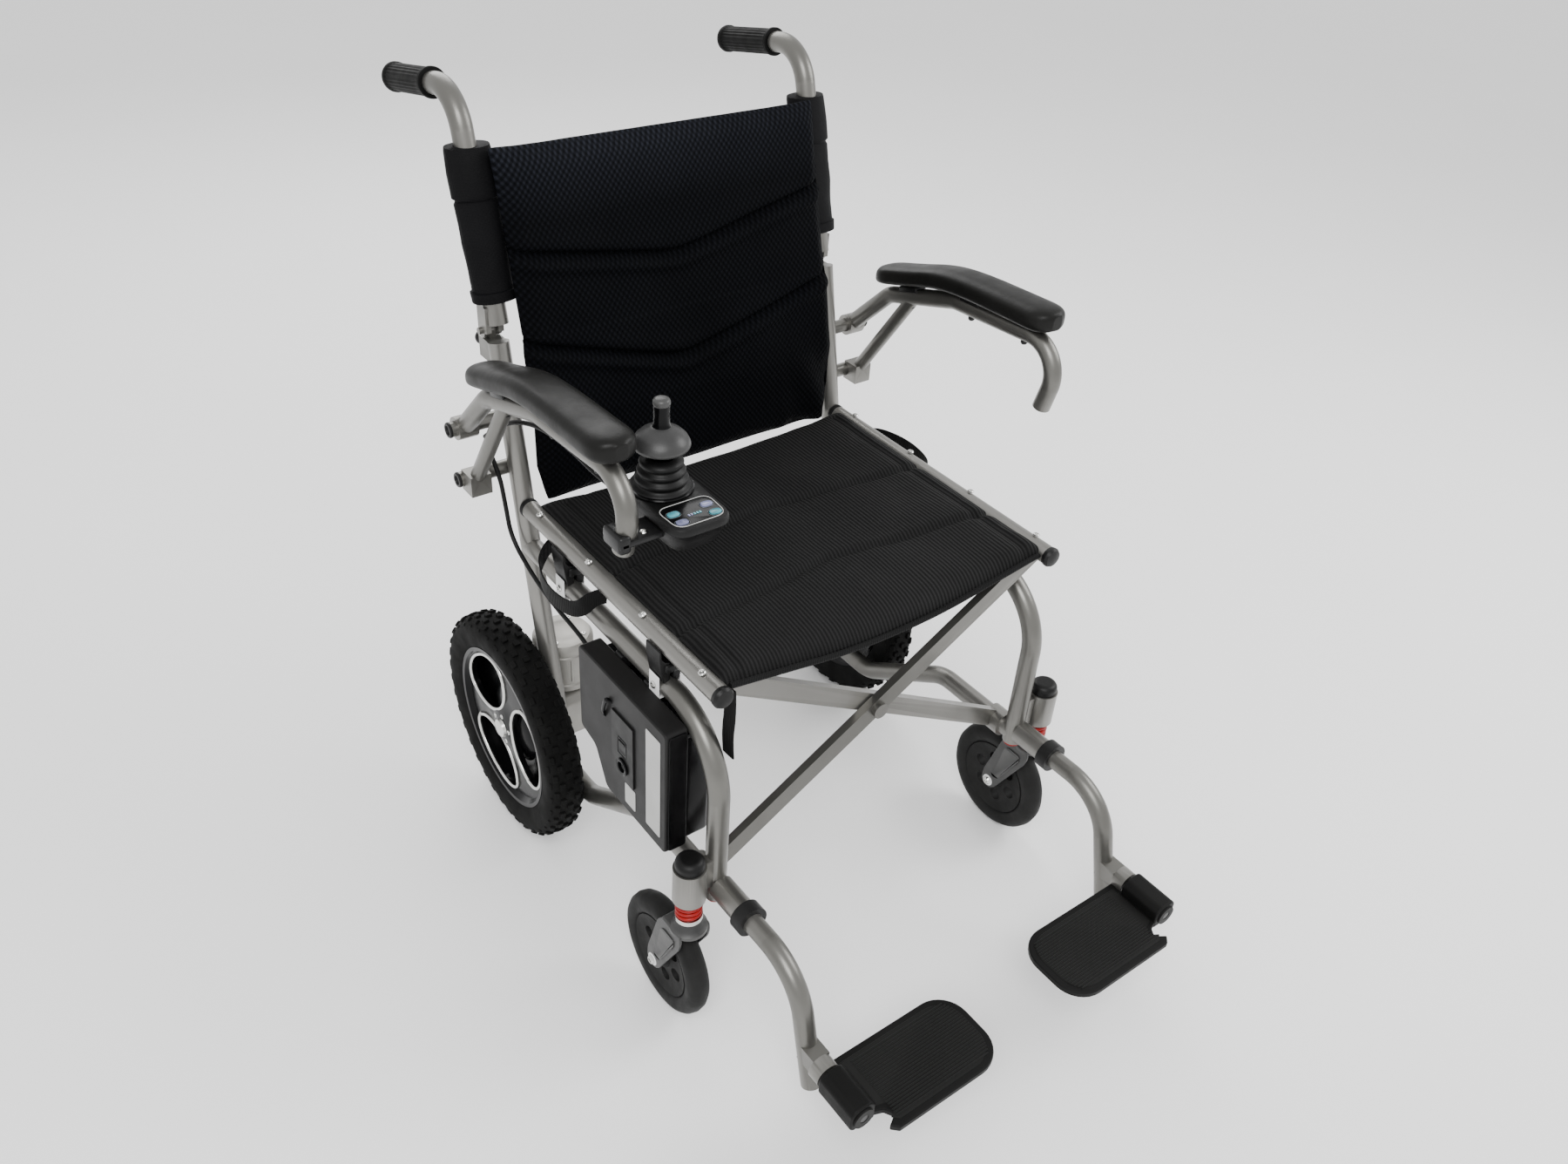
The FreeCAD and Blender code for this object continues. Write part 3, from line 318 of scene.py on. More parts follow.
def loft(name, loops, sharp=40.0, closed=False):
    """A skin over loops of points, capped at its ends or closed on itself; a loop of one point is a tip."""
    bm = bmesh.new()
    rings = [[bm.verts.new(p) for p in loop] for loop in loops]
    following = rings[1:] + (rings[:1] if closed else [])
    for a, b in zip(rings, following):
        size = max(len(a), len(b))
        for k in range(size):
            n = (k + 1) % size
            corners = dict.fromkeys((a[k % len(a)], a[n % len(a)], b[n % len(b)], b[k % len(b)]))
            if len(corners) > 2:
                bm.faces.new(list(corners))
    for ring in (rings[0], rings[-1]):
        if len(ring) > 2 and not closed:
            bm.faces.new(ring)
    return from_bmesh(name, bm, sharp)


def frame_of(direction):
    """Rotation that turns +Z to a direction."""
    return Vector(Z).rotation_difference(Vector(direction)).to_matrix()


def lathe(name, profile, centre, axis=Z, steps=64, sharp=35.0):
    """A profile of (radius, height) turned round an axis through centre."""
    turn = frame_of(axis)
    loops = []
    for radius, height in profile:
        flat = circle(radius, steps) if radius else [(0, 0)]
        loops.append([turn @ Vector((a, b, height)) + Vector(centre) for a, b in flat])
    return loft(name, loops, sharp, closed=profile[0][0] > 0)


def curve_line(points):
    """Points along a smooth open NURBS line that the control points shape."""
    data = bpy.data.curves.new("line", "CURVE")
    data.dimensions = "3D"
    data.resolution_u = 8
    spline = data.splines.new("NURBS")
    spline.points.add(len(points) - 1)
    for point, spot in zip(spline.points, points):
        point.co = (*spot, 1)
    spline.order_u = 3
    spline.use_endpoint_u = True
    obj = place("line", data)
    bpy.context.view_layer.update()
    mesh = bpy.data.meshes.new_from_object(obj)
    line = [v.co.copy() for v in mesh.vertices]
    bpy.data.meshes.remove(mesh)
    bpy.data.objects.remove(obj)
    bpy.data.curves.remove(data)
    return line


def sweep(name, path, section, up):
    """A section of (side, lift) offsets carried along a path."""
    loops = []
    for k, point in enumerate(path):
        tangent = (path[min(k + 1, len(path) - 1)] - path[max(k - 1, 0)]).normalized()
        side = (Vector(up) - tangent * Vector(up).dot(tangent)).normalized()
        lift = tangent.cross(side)
        loops.append([point + side * a + lift * b for a, b in section])
    return loft(name, loops)


def ring_tube(name, loop, radius, count=10):
    """A round wire along a closed loop of points."""
    loops = []
    side = None
    for k, point in enumerate(loop):
        tangent = (loop[(k + 1) % len(loop)] - loop[k - 1]).normalized()
        side = side - tangent * side.dot(tangent) if side else tangent.orthogonal()
        side.normalize()
        lift = tangent.cross(side)
        loops.append([point + side * a + lift * b for a, b in circle(radius, count)])
    return loft(name, loops, 60, closed=True)


def circle(radius, count):
    turns = [2 * math.pi * k / count for k in range(count)]
    return [(radius * math.cos(a), radius * math.sin(a)) for a in turns]


def oval(wide, high, count, power):
    """A superellipse section."""
    out = []
    for c, s in circle(1, count):
        out.append((wide / 2 * math.copysign(abs(c) ** (2 / power), c),
            high / 2 * math.copysign(abs(s) ** (2 / power), s)))
    return out


def block(name, size, centre, bevel, turn=None, segments=3):
    """A box with rounded edges."""
    bm = bmesh.new()
    bmesh.ops.create_cube(bm, size=1.0)
    bmesh.ops.scale(bm, vec=size, verts=bm.verts)
    bmesh.ops.bevel(bm, geom=bm.edges[:] + bm.verts[:], offset=bevel, segments=segments, profile=0.5,
        affect="EDGES")
    if turn is not None:
        bmesh.ops.rotate(bm, cent=(0, 0, 0), matrix=turn, verts=bm.verts)
    bmesh.ops.translate(bm, vec=centre, verts=bm.verts)
    return from_bmesh(name, bm)


def prism(name, outline, depth, bevel=1.0, segments=2):
    """A flat outline of 3-D points pushed along a vector."""
    bm = bmesh.new()
    face = bm.faces.new([bm.verts.new(p) for p in outline])
    made = bmesh.ops.extrude_face_region(bm, geom=[face])
    moved = [g for g in made["geom"] if isinstance(g, bmesh.types.BMVert)]
    bmesh.ops.translate(bm, vec=depth, verts=moved)
    obj = from_bmesh(name, bm)
    if bevel:
        mod = obj.modifiers.new("edges", "BEVEL")
        mod.width = bevel * MM
        mod.segments = segments
        mod.limit_method = "ANGLE"
        mod.angle_limit = math.radians(30)
        mod.harden_normals = True
    return obj


def at_x(x, pairs):
    return [Vector((x, y, z)) for y, z in pairs]


def at_y(y, pairs):
    return [Vector((x, y, z)) for x, z in pairs]


def at_z(z, pairs):
    return [Vector((x, y, z)) for x, y in pairs]


def around(x, y, pairs):
    """Flat offsets moved to a centre."""
    return [(x + a, y + b) for a, b in pairs]


def round_outline(points, radius, count=6):
    """A closed flat outline with its corners rounded."""
    out = []
    for k, corner in enumerate(points):
        before = points[k - 1]
        after = points[(k + 1) % len(points)]
        first = corner + (before - corner).normalized() * radius
        last = corner + (after - corner).normalized() * radius
        for j in range(count + 1):
            t = j / count
            out.append(first * (1 - t) ** 2 + corner * 2 * t * (1 - t) + last * t ** 2)
    return out


def bolt_head(name, centre, axis, radius, high, body=None):
    """A domed screw head with a round socket."""
    profile = [(0, high * 0.45), (radius * 0.42, high * 0.45), (radius * 0.46, high),
        (radius * 0.75, high * 0.95), (radius, high * 0.45), (radius, 0), (0, 0)]
    return finish(lathe(name, profile, centre, axis, 24), "bright", body)


def keep_node(name, look, second=None, test=None):
    """A CAD node that stays in view: its material, and a second one on the faces that pass a test."""
    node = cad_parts[name]
    node.data.materials.clear()
    node.data.materials.append(LOOKS[look])
    if second:
        node.data.materials.append(LOOKS[second])
    for face in node.data.polygons:
        face.material_index = 1 if second and test(face.center) else 0


def cut_with(obj, cutters, sharp):
    """Holes cut by other meshes, which go."""
    for cutter in cutters:
        mod = obj.modifiers.new("hole", "BOOLEAN")
        mod.operation = "DIFFERENCE"
        mod.solver = "EXACT"
        mod.object = cutter
    apply_modifiers(obj)
    for cutter in cutters:
        bpy.data.objects.remove(cutter)
    obj.data.materials.clear()
    obj.data.shade_smooth()
    obj.data.set_sharp_from_angle(angle=math.radians(sharp))


# ------------------------------------------------------------------ camera, light, floor
def make_stage():
    camera_data = bpy.data.cameras.new("camera")
    camera_data.lens = 29.86
    camera_data.sensor_width = 36
    camera = place("camera", camera_data)
    right = Vector((0.80226, -0.59406, 0.05893))
    up = Vector((0.30852, 0.49710, 0.81099))
    back = Vector((-0.51107, -0.63245, 0.58209))
    turn = Matrix((right, up, back)).transposed().to_4x4()
    camera.matrix_world = Matrix.Translation((-0.81816, -1.00097, 1.34274)) @ turn
    bpy.context.scene.camera = camera

    bm = bmesh.new()
    bmesh.ops.create_grid(bm, x_segments=8, y_segments=8, size=9)
    floor = from_bmesh("floor", bm, unit=1)
    floor.location = (0, 0, -0.0005)
    floor.data.materials.append(LOOKS["floor"])

    world = bpy.data.worlds.new("world")
    world.use_nodes = True
    sky = world.node_tree.nodes["Background"].inputs
    sky["Color"].default_value = (1, 1, 1, 1)
    sky["Strength"].default_value = 1.2
    bpy.context.scene.world = world
    for name, spot, size, watts in (("key", (-1.6, -1.8, 2.9), 1.8, 82), ("side", (2.3, -0.9, 2.0), 1.6, 44),
            ("behind", (0.6, 2.4, 2.2), 2.0, 38)):
        data = bpy.data.lights.new(name, "AREA")
        data.shape = "DISK"
        data.size = size
        data.energy = watts
        lamp = place(name, data)
        lamp.location = spot
        lamp.rotation_euler = (Vector((0, 0, 0.45)) - Vector(spot)).to_track_quat("-Z", "Y").to_euler()


# ------------------------------------------------------------------ cords
def make_cord(name, node, body, points):
    """A round cable on a smooth line through the CAD route."""
    radius = 2.75 * MM
    data = bpy.data.curves.new(name, "CURVE")
    data.dimensions = "3D"
    data.bevel_depth = radius
    data.bevel_resolution = 5
    data.resolution_u = 12
    data.use_fill_caps = True
    spline = data.splines.new("NURBS")
    spline.points.add(len(points) - 1)
    for point, spot in zip(spline.points, points):
        point.co = (*(c * MM for c in spot), 1)
    spline.order_u = 3
    spline.use_endpoint_u = True
    obj = finish(place(name, data), "cable", body, "cable_rubber", node)


def make_cords():
    make_cord("cable_upper", "cable_armrest", "armrest_right", [(-251, -29.5, 640), (-262, 0, 650),
        (-268, 40, 662), (-270, 100, 660), (-270, 160, 640), (-271, 210, 610), (-271, 248, 578)])
    make_cord("cable_lower", "cable_frame", "side_frame_right", [(-271, 247, 569), (-263, 236, 535),
        (-260, 231, 490), (-258, 226, 445), (-258, 175, 420), (-258, 120, 408), (-256, 75, 402),
        (-254, 44, 392), (-252, 32, 380)])


# ------------------------------------------------------------------ frame details
def make_frame():
    """Paint on the tubes, caps on the seat rails, and the screws that hold the sling."""
    housing_cap = 264.1 * MM
    for side, s in SIDES:
        for name in ("rear_post", "front_frame", "lower_rail", "hanger_tube", "back_cane", "armrest_tube",
                "seat_rail"):
            keep_node(name + "_" + side, "paint")
        keep_node("caster_housing_" + side, "paint", "plastic", lambda c: c.z > housing_cap)
        keep_node("caster_stem_" + side, "bright")
        keep_node("hanger_collar_" + side, "plastic")
        seat_rail = "brace_b" if s < 0 else "brace_a"
        for end, y, way in (("front", -194, -1), ("rear", 214, 1)):
            cap = lathe("rail_cap_%s_%s" % (side, end), [(0, -4), (10.5, -4), (12.2, -0.5), (12.5, 3.5),
                (10.5, 6.8), (5, 8.2), (0, 8.4)], (s * 236, y, 485), (0, way, 0), 32)
            finish(cap, "plastic", seat_rail, "black_plastic")
        for k, y in enumerate((-165, -50, 65, 180)):
            bolt_head("sling_screw_%s_%d" % (side, k), (s * 240.5, y, 497.3), (0.25 * s, 0, 1), 4.2, 2.2,
                seat_rail)
    for bar in ("a", "b"):
        keep_node("brace_bar_" + bar, "paint")
    bolt_head("brace_bolt", (0, -179.5, 346), (0, -1, 0), 8.5, 5, "brace_a")


def make_cradles():
    """Black clips on the side rail that hold the seat rail, with their silver brackets."""
    wing = ((2, 440), (10.4, 440), (13, 455), (15.4, 474), (15.2, 484), (12.6, 484), (12.3, 474), (8, 468),
        (2, 466))
    band = ((-13.6, 417), (13.6, 417), (13.6, 446), (12.6, 446), (12.6, 418), (-12.6, 418), (-12.6, 446),
        (-13.6, 446))
    for side, s in SIDES:
        body = "side_frame_" + side
        x = s * 236
        clips = []
        straps = []
        for y in (-88, 120):
            for way in (-1, 1):
                clips.append(prism("wing", [(x + way * a, y - 14, z) for a, z in wing], (0, 28, 0)))
            clips.append(block("rib", (18, 34, 12), (x, y, 458.5), 3))
            straps.append(prism("band", [(x + a, y - 10, z) for a, z in band], (0, 20, 0), 0.4, 1))
            straps.append(bolt_head("head", (s * 249.8, y, 431), (s, 0, 0), 4.5, 2.5))
        finish(join("cradle_clips_" + side, clips), "plastic", body, "black_plastic", "seat_cradles_" + side)
        finish(join("cradle_bracket_" + side, straps), "bright", body, "steel")


def leg_plugs():
    """Reddish plug in the open bottom of each front leg."""
    for side, s in SIDES:
        plug = lathe("leg_plug_" + side, [(0, 4), (9.8, 4), (10.8, 1), (10.8, -3), (7, -4.6), (0, -5)],
            (s * 236, -197, 193.5), Z, 32)
        finish(plug, "red", "side_frame_" + side, "red_spring")


def stub_plugs():
    """Black plug, with a hollow, in the outer end of each armrest stub."""
    profile = [(0, 0.6), (5, 0.6), (6, 2.6), (8.4, 2.6), (9.4, 1.4), (9.4, -0.6), (0, -0.6)]
    for side, s in SIDES:
        plugs = [lathe("plug", profile, (s * x, y, z), (s, 0, 0), 36) for x, y,
            z in ((308, 262, 590), (306, 254, 527))]
        finish(join("stub_plugs_" + side, plugs), "plastic", "side_frame_" + side, "black_plastic")


# ------------------------------------------------------------------ wheels
def wheel_centre(s):
    return Vector((s * 277, 220, 157))


def rear_tyre(side, s):
    """Knobby tyre: a smooth carcass with rows of blocks and side lugs."""
    half = [(112.5, 15.5), (113.5, 18.5), (117, 20.6), (122, 22.2), (130, 24), (138, 24.2), (144, 23),
        (148.5, 20.6), (151.6, 16.5), (153, 11), (153.4, 5), (153.5, 0)]
    profile = [(r, -x) for r, x in half] + [(r, x) for r, x in reversed(half[:-1])]
    carcass = lathe("carcass", profile, wheel_centre(s), X, 120, 50)
    # each row: offset from the middle, top radius, block width and length, shift in pitches, lean in degrees
    rows = [(0, 156.8, 8.2, 7.6, 0, 0)]
    for row in ((10.2, 156.3, 7.4, 8.4, 0.5, 9), (18.4, 153.6, 6.6, 9.2, 0, 36),
            (23.2, 146.2, 4, 10.2, 0.5, 66)):
        rows += [row, (-row[0], *row[1:5], -row[5])]
    count = 36
    tall = 5
    bm = bmesh.new()
    for offset, top, wide, long, shift, lean in rows:
        shape = Matrix.Translation((offset, 0, top)) @ Matrix.Rotation(math.radians(lean), 4, "Y")
        shape = shape @ Matrix.Translation((0, 0, -tall / 2)) @ Matrix.Diagonal((wide, long, tall, 1))
        for k in range(count):
            spin = Matrix.Rotation(2 * math.pi * (k + shift) / count, 4, "X")
            made = bmesh.ops.create_cube(bm, size=1.0)["verts"]
            bmesh.ops.transform(bm, matrix=Matrix.Translation(wheel_centre(s)) @ spin @ shape, verts=made)
    bmesh.ops.bevel(bm, geom=bm.edges[:], offset=0.7, segments=1, affect="EDGES")
    tyre = join("tyre_" + side, [carcass, from_bmesh("blocks", bm, 30)])
    finish(tyre, "tyre", "rear_wheel_" + side, "tyre_rubber", "rear_tyre_" + side)


def opening_loop(s, face, angle, radial=38.5, across=70.0):
    """A rounded wheel opening, as a loop on the wheel's face."""
    middle = 63.5
    out = []
    for c, n in circle(1, 64):
        r = middle + radial * math.copysign(abs(c) ** 0.85, c)
        t = across * math.copysign(abs(n) ** 0.85, n) * (0.80 + 0.20 * c)
        r -= 11.5 * (t / across) ** 2 * (1 if c > 0 else 0.2)
        turned = Matrix.Rotation(angle, 3, "X") @ Vector((face, r, t))
        out.append(Vector((s * turned.x, turned.y, turned.z)) + wheel_centre(s))
    return out


def rear_rim(side, s):
    """Black three-spoke wheel with bright outlined openings, hub cap, bolts and brake disc."""
    centre = wheel_centre(s)
    axis = (s, 0, 0)
    body = "rear_wheel_" + side
    barrel = lathe("barrel", [(113.5, -19.5), (114.5, -16.5), (111, -15), (106, -14), (106, 14), (111, 15),
        (114.5, 16.5), (113.5, 19.5), (108.5, 19), (103, 12), (103, -12), (108.5, -19)], centre, axis, 96)
    face = lathe("face", [(0, 17.5), (22, 17.5), (30, 15), (60, 13), (92, 13.5), (104.5, 12), (104.5, 6.5),
        (60, 6), (0, 6)], centre, axis, 96)
    angles = [math.radians(d) for d in (52, 172, 292)]
    cut_with(face, [prism("cutter", opening_loop(s, -30, angle), (s * 80, 0, 0), 0) for angle in angles], 30)
    disc = lathe("disc", [(0, -12), (50, -12), (54, -10), (98, -10), (103.5, -12), (103.5, -6.5), (94, -4),
        (56, -4), (50, 1), (32, 6), (0, 6)], centre, axis, 96)
    finish(join("rim_" + side, [barrel, face, disc]), "gloss", body, "black_plastic", "rear_rim_" + side)
    trims = [ring_tube("trim", opening_loop(s, 14.2, angle, 39.0, 70.5), 2.7) for angle in angles]
    finish(join("rim_trim_" + side, trims), "bright", body, "steel")
    cap = lathe("hub_cap_" + side, [(0, 24), (9, 23.6), (12.5, 21.5), (13.5, 17), (0, 17)], centre, axis, 40)
    finish(cap, "bright", body, "steel")
    bolts = []
    for k in range(5):
        a = 2 * math.pi * k / 5 + 0.4
        spot = centre + Vector((s * 15.8, 19.5 * math.cos(a), 19.5 * math.sin(a)))
        bolts.append(bolt_head("b", spot, axis, 3.6, 2.6))
    finish(join("rim_bolts_" + side, bolts), "bright", body, "steel")
    valve = lathe("valve_" + side, [(0, 18), (2.6, 17.5), (2.8, 0), (0, 0)],
        centre + Vector((s * 6, 0, -103.5)), (s * 0.55, 0, 0.85), 16)
    finish(valve, "plastic", body, "black_plastic")


def gear_motor(side, s):
    """Cast gearbox and upright motor can with its end cap, fins and screws."""
    body = "side_frame_" + side
    x = s * 180.5
    box = prism("gearbox", at_x(x, ((190, 125), (250, 125), (254, 129), (254, 176), (246, 189), (196, 189),
        (186, 178), (186, 129))), (s * 52, 0, 0), 3, 3)
    nose = lathe("nose", [(0, 10), (18, 10), (21, 6), (22.5, 0), (0, 0)], (s * 232.5, 220, 157), (s, 0, 0),
        40)
    plate = lathe("plate", [(0, 6), (27, 6), (29, 4), (29, 0), (0, 0)], (x, 220, 157), (-s, 0, 0), 40)
    finish(join("gearbox_" + side, [box, nose, plate]), "cast", body, "motor_cast", "gear_motor_" + side)
    x = s * 191
    y = 235
    can = lathe("can", [(0, 3), (36, 3), (40.5, 6), (40.5, 14), (39, 15.5), (39, 18), (40.5, 19.5),
        (40.5, 60), (39, 61.5), (39, 64), (40.5, 65.5), (40, 72), (36, 77.5), (22, 79.5), (20, 78.5),
        (0, 78.5)], (x, y, 189), Z, 72)
    fins = []
    for k, (a, b) in enumerate(around(x, y, circle(39.2, 14))):
        turn = Matrix.Rotation(2 * math.pi * k / 14, 3, "Z")
        fins.append(block("fin", (4.6, 3, 36), (a, b, 229), 0.8, turn, 1))
    finish(join("motor_" + side, [can] + fins), "cast", body, "motor_cast")
    heads = []
    for k in range(4):
        a = math.pi / 4 + math.pi / 2 * k
        c = math.cos(a)
        n = math.sin(a)
        heads.append(bolt_head("b", (x + 29 * c, y + 29 * n, 266.5), Z, 3.5, 2.5))
        heads.append(bolt_head("b", (s * 179.5, 220 + 24 * c, 157 + 24 * n), (-s, 0, 0), 3, 8))
    finish(join("motor_screws_" + side, heads), "bright", body, "steel")


def caster(side, s):
    """Grey tyre and a pierced hub on the fork's axle."""
    x = s * 274
    axle = Vector((x, -158, 78))
    body = "caster_wheel_" + side
    half = [(53.5, 10), (58, 12.8), (66, 13.8), (72.5, 11.8), (76.5, 7)]
    profile = [(r, -t) for r, t in half] + [(78, 0)] + half[::-1]
    tyre = lathe("caster_tyre_mesh_" + side, profile, axle, X, 96, 60)
    finish(tyre, "caster_tyre", body, "tyre_rubber", "caster_tyre_" + side)
    half = [(4.5, 13.8), (12, 13.8), (14, 11.8), (17, 7.5), (36, 6.6), (46, 8.5), (52.5, 11.2), (53.5, 9.5)]
    hub = lathe("caster_wheel_hub_" + side, half + [(r, -t) for r, t in reversed(half)], axle, X, 72)
    holes = []
    for k in range(6):
        a = 2 * math.pi * k / 6 + 0.3
        spot = axle + Vector((-30, 30 * math.cos(a), 30 * math.sin(a)))
        holes.append(lathe("hole", [(0, 0), (8.8, 0), (8.8, 60), (0, 60)], spot, X, 24))
    cut_with(hub, holes, 32)
    finish(hub, "caster_tyre", body, "black_plastic", "caster_hub_" + side)
    fork(side, x, axle)
    caster_spring(side, x)


def fork(side, x, axle):
    """Dark grey fork: crown, two wide tapering cheeks with raised webs, and the axle's screws."""
    body = "caster_fork_body_" + side
    pieces = [lathe("crown", [(0, 184), (12.5, 184), (14.5, 181.5), (16.5, 176), (22, 171), (22, 166.5),
        (0, 166.5)], (x, -201, 0), Z, 40)]
    pieces.append(block("bridge", (42, 36, 6.5), (x, -194, 169.5), 3))
    outline = [(-214, 172), (-178, 172), (-168, 160), (-147, 92), (-146, 74), (-152, 67), (-163, 67),
        (-171, 74), (-212, 148), (-215, 160)]
    mid_y = -186.5
    mid_z = 134
    web = [(mid_y + (y - mid_y) * 0.62, mid_z + (z - mid_z) * 0.62) for y, z in outline]
    for way in (-1, 1):
        cheek = round_outline(at_x(x + way * 17.2, outline), 4.5)
        pieces.append(prism("cheek", cheek, (way * 3.6, 0, 0), 1.2))
        pieces.append(prism("web", round_outline(at_x(x + way * 20, web), 5), (way * 2.1, 0, 0), 0.9))
    finish(join("fork_" + side, pieces), "grey", body, "black_metal", "caster_fork_" + side)
    ends = []
    for way in (-1, 1):
        ends.append(bolt_head("e", axle + Vector((way * 20.6, 0, 0)), (way, 0, 0), 6.2, 4.2))
        ends.append(lathe("w", [(0, 1.2), (8.2, 1.2), (8.6, 0), (0, 0)], axle + Vector((way * 20.2, 0, 0)),
            (way, 0, 0), 28))
    ends.append(lathe("pin", [(0, -20), (4, -20), (4, 20), (0, 20)], axle, X, 20))
    finish(join("fork_axle_" + side, ends), "bright", body, "steel")


def caster_spring(side, x):
    """Red coil, with flat closed ends, in the height of its CAD solid."""
    low = 190.6
    high = 214.8
    turns = 4
    wire = 2.2
    steps = 28 * turns
    loops = []
    for k in range(steps + 1):
        share = k / steps
        a = 2 * math.pi * turns * share
        rise = min(1, max(0, (share * turns - 0.5) / (turns - 1)))
        out = Vector((math.cos(a), math.sin(a), 0))
        centre = Vector((x, -201, low + wire + (high - low - 2 * wire) * rise)) + out * 13.5
        loops.append([centre + out * u + Vector((0, 0, v)) for u, v in circle(wire, 10)])
    spring = loft("spring_" + side, loops, 60)
    finish(spring, "red", "side_frame_" + side, "red_spring", "caster_spring_" + side)
    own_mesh(spring)


# ------------------------------------------------------------------ footrests
def arc(x, y, radius, start, stop, count=8):
    """Points on an arc in plan, from one angle in degrees to another."""
    angles = [math.radians(start + (stop - start) * k / count) for k in range(count + 1)]
    return [(x + radius * math.cos(a), y + radius * math.sin(a)) for a in angles]


def footplate(side, s):
    """Ribbed black board with a moulded hinge block on its outer edge."""
    body = "footplate_body_" + side
    corner = 36
    inside = 57
    rear = -403
    front = -505
    plan = [(226, rear), (226, -474), (212, -479), (206, -489), (219, -497), (211, front)]
    plan += arc(inside + corner, front + corner, corner, 270, 180)
    plan += arc(inside + corner, rear - corner, corner, 180, 90)
    field = [(142 + (x - 142) * 0.91, -454 + (y + 454) * 0.85) for x, y in plan]
    pieces = [prism("board", [(s * x, y, 107.5) for x, y in plan], (0, 0, 8.5), 1.8, 3), prism("field",
        [(s * x, y, 115.5) for x, y in field], (0, 0, 1), 0.4, 1)]
    for k in range(22):
        y = -416.5 - k * 3.6
        past = max(0.0, y - rear + corner, front + corner - y)
        start = 66 + corner - math.sqrt(max(0.0, corner ** 2 - past ** 2))
        pieces.append(block("rib", (206 - start, 1.6, 1.4), (s * (206 + start) / 2, y, 116.8), 0.5, None, 1))
    hinge = at_y(-420.5, [(s * x, z) for x, z in ((221, 105), (250, 105), (254, 110), (254, 131), (248, 137),
        (228, 137), (221, 130))])
    pieces.append(prism("hinge", round_outline(hinge, 3, 4), (0, -55.5, 0), 2.5, 3))
    pieces.append(lathe("boss", [(5.5, 0), (11.8, 0), (12.8, 1.2), (12.8, 4), (5.5, 4)],
        (s * 238, -474.5, 120), (0, -1, 0), 32))
    finish(join("foot_board_" + side, pieces), "deck", body, "plate_plastic", "footplate_" + side)
    pin = lathe("foot_pin_" + side, [(0, 1.2), (5, 1.2), (5.4, 0), (0, 0)], (s * 238, -476.8, 120),
        (0, -1, 0), 24)
    finish(pin, "black_metal", body, "black_metal")


# ------------------------------------------------------------------ cloth, in metres
def slab_mesh(name, width, length, thick, edge, cols, rows):
    """A closed flat pillow blank in the x-y plane, thin at its edges."""
    bm = bmesh.new()
    layers = []
    for way in (1, -1):
        grid = []
        for j in range(rows + 1):
            row = []
            for i in range(cols + 1):
                u = i / cols * 2 - 1
                v = j / rows * 2 - 1
                near = min((1 - abs(u)) * width / 2, (1 - abs(v)) * length / 2)
                share = min(1.0, near / edge)
                high = thick / 2 * math.sqrt(max(0.0, 1 - (1 - share) ** 2))
                row.append(bm.verts.new((u * width / 2, v * length / 2, way * max(high, 0.0012))))
            grid.append(row)
        layers.append(grid)
    top, low = layers
    for j in range(rows):
        for i in range(cols):
            bm.faces.new((top[j][i], top[j][i + 1], top[j + 1][i + 1], top[j + 1][i]))
            bm.faces.new((low[j][i], low[j + 1][i], low[j + 1][i + 1], low[j][i + 1]))
    rim = [(0, i) for i in range(cols)] + [(j, cols) for j in range(rows)]
    rim += [(rows, i) for i in range(cols, 0, -1)] + [(j, 0) for j in range(rows, 0, -1)]
    for (j, i), (m, n) in zip(rim, rim[1:] + rim[:1]):
        bm.faces.new((top[j][i], low[j][i], low[m][n], top[m][n]))
    return from_bmesh(name, bm, 180, 1)


def coords(mesh):
    out = np.empty(len(mesh.vertices) * 3)
    mesh.vertices.foreach_get("co", out)
    return out.reshape(-1, 3)


def put_coords(obj, points):
    obj.data.vertices.foreach_set("co", np.ascontiguousarray(points).ravel())
    obj.data.update()


def inflate(obj, cap, voxel):
    """Cloth pressure fills the blank; no point moves further than the cap, and the outline keeps its size."""
    mod = obj.modifiers.new("remesh", "REMESH")
    mod.mode = "VOXEL"
    mod.voxel_size = voxel
    apply_modifiers(obj)
    rest = coords(obj.data)
    cloth = obj.modifiers.new("cloth", "CLOTH")
    cloth.settings.quality = 5
    cloth.settings.mass = 0.3
    cloth.settings.tension_stiffness = 15
    cloth.settings.compression_stiffness = 15
    cloth.settings.bending_stiffness = 0.5
    cloth.settings.use_pressure = True
    cloth.settings.uniform_pressure_force = 4
    cloth.settings.effector_weights.gravity = 0
    scene = bpy.context.scene
    for span in (scene, cloth.point_cache):
        span.frame_start = 1
        span.frame_end = 20
    for frame_number in range(1, 21):
        scene.frame_set(frame_number)
    shown = obj.evaluated_get(bpy.context.evaluated_depsgraph_get())
    step = coords(shown.data) - rest
    far = np.linalg.norm(step, axis=1, keepdims=True)
    step *= np.minimum(1.0, cap / np.maximum(far, 1e-9))
    step[:, :2] *= 0.3
    filled = rest + step
    filled[:, :2] *= np.abs(rest[:, :2]).max(axis=0) / np.abs(filled[:, :2]).max(axis=0)
    obj.modifiers.clear()
    put_coords(obj, filled)
    scene.frame_set(1)
    subdivide(obj)


def groove(distance, width):
    """1 on a sewn line, falling smoothly to 0 at a width from it."""
    return np.exp(-(distance / width) ** 2)


def ramp(value, start, length):
    """0 before a start, rising to 1 over a length, which may be negative."""
    return np.clip((value - start) / length, 0, 1)


def ripple(x, y, scale, seed):
    """Smooth seeded noise at points, one value each."""
    shift = Vector((seed, seed * 2.3, 0))
    return np.array([noise.noise(Vector((a, b, 0)) * scale + shift) for a, b in zip(x, y)])


def blend_seat(obj):
    """The piece's placement baked into its mesh."""
    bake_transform(obj)


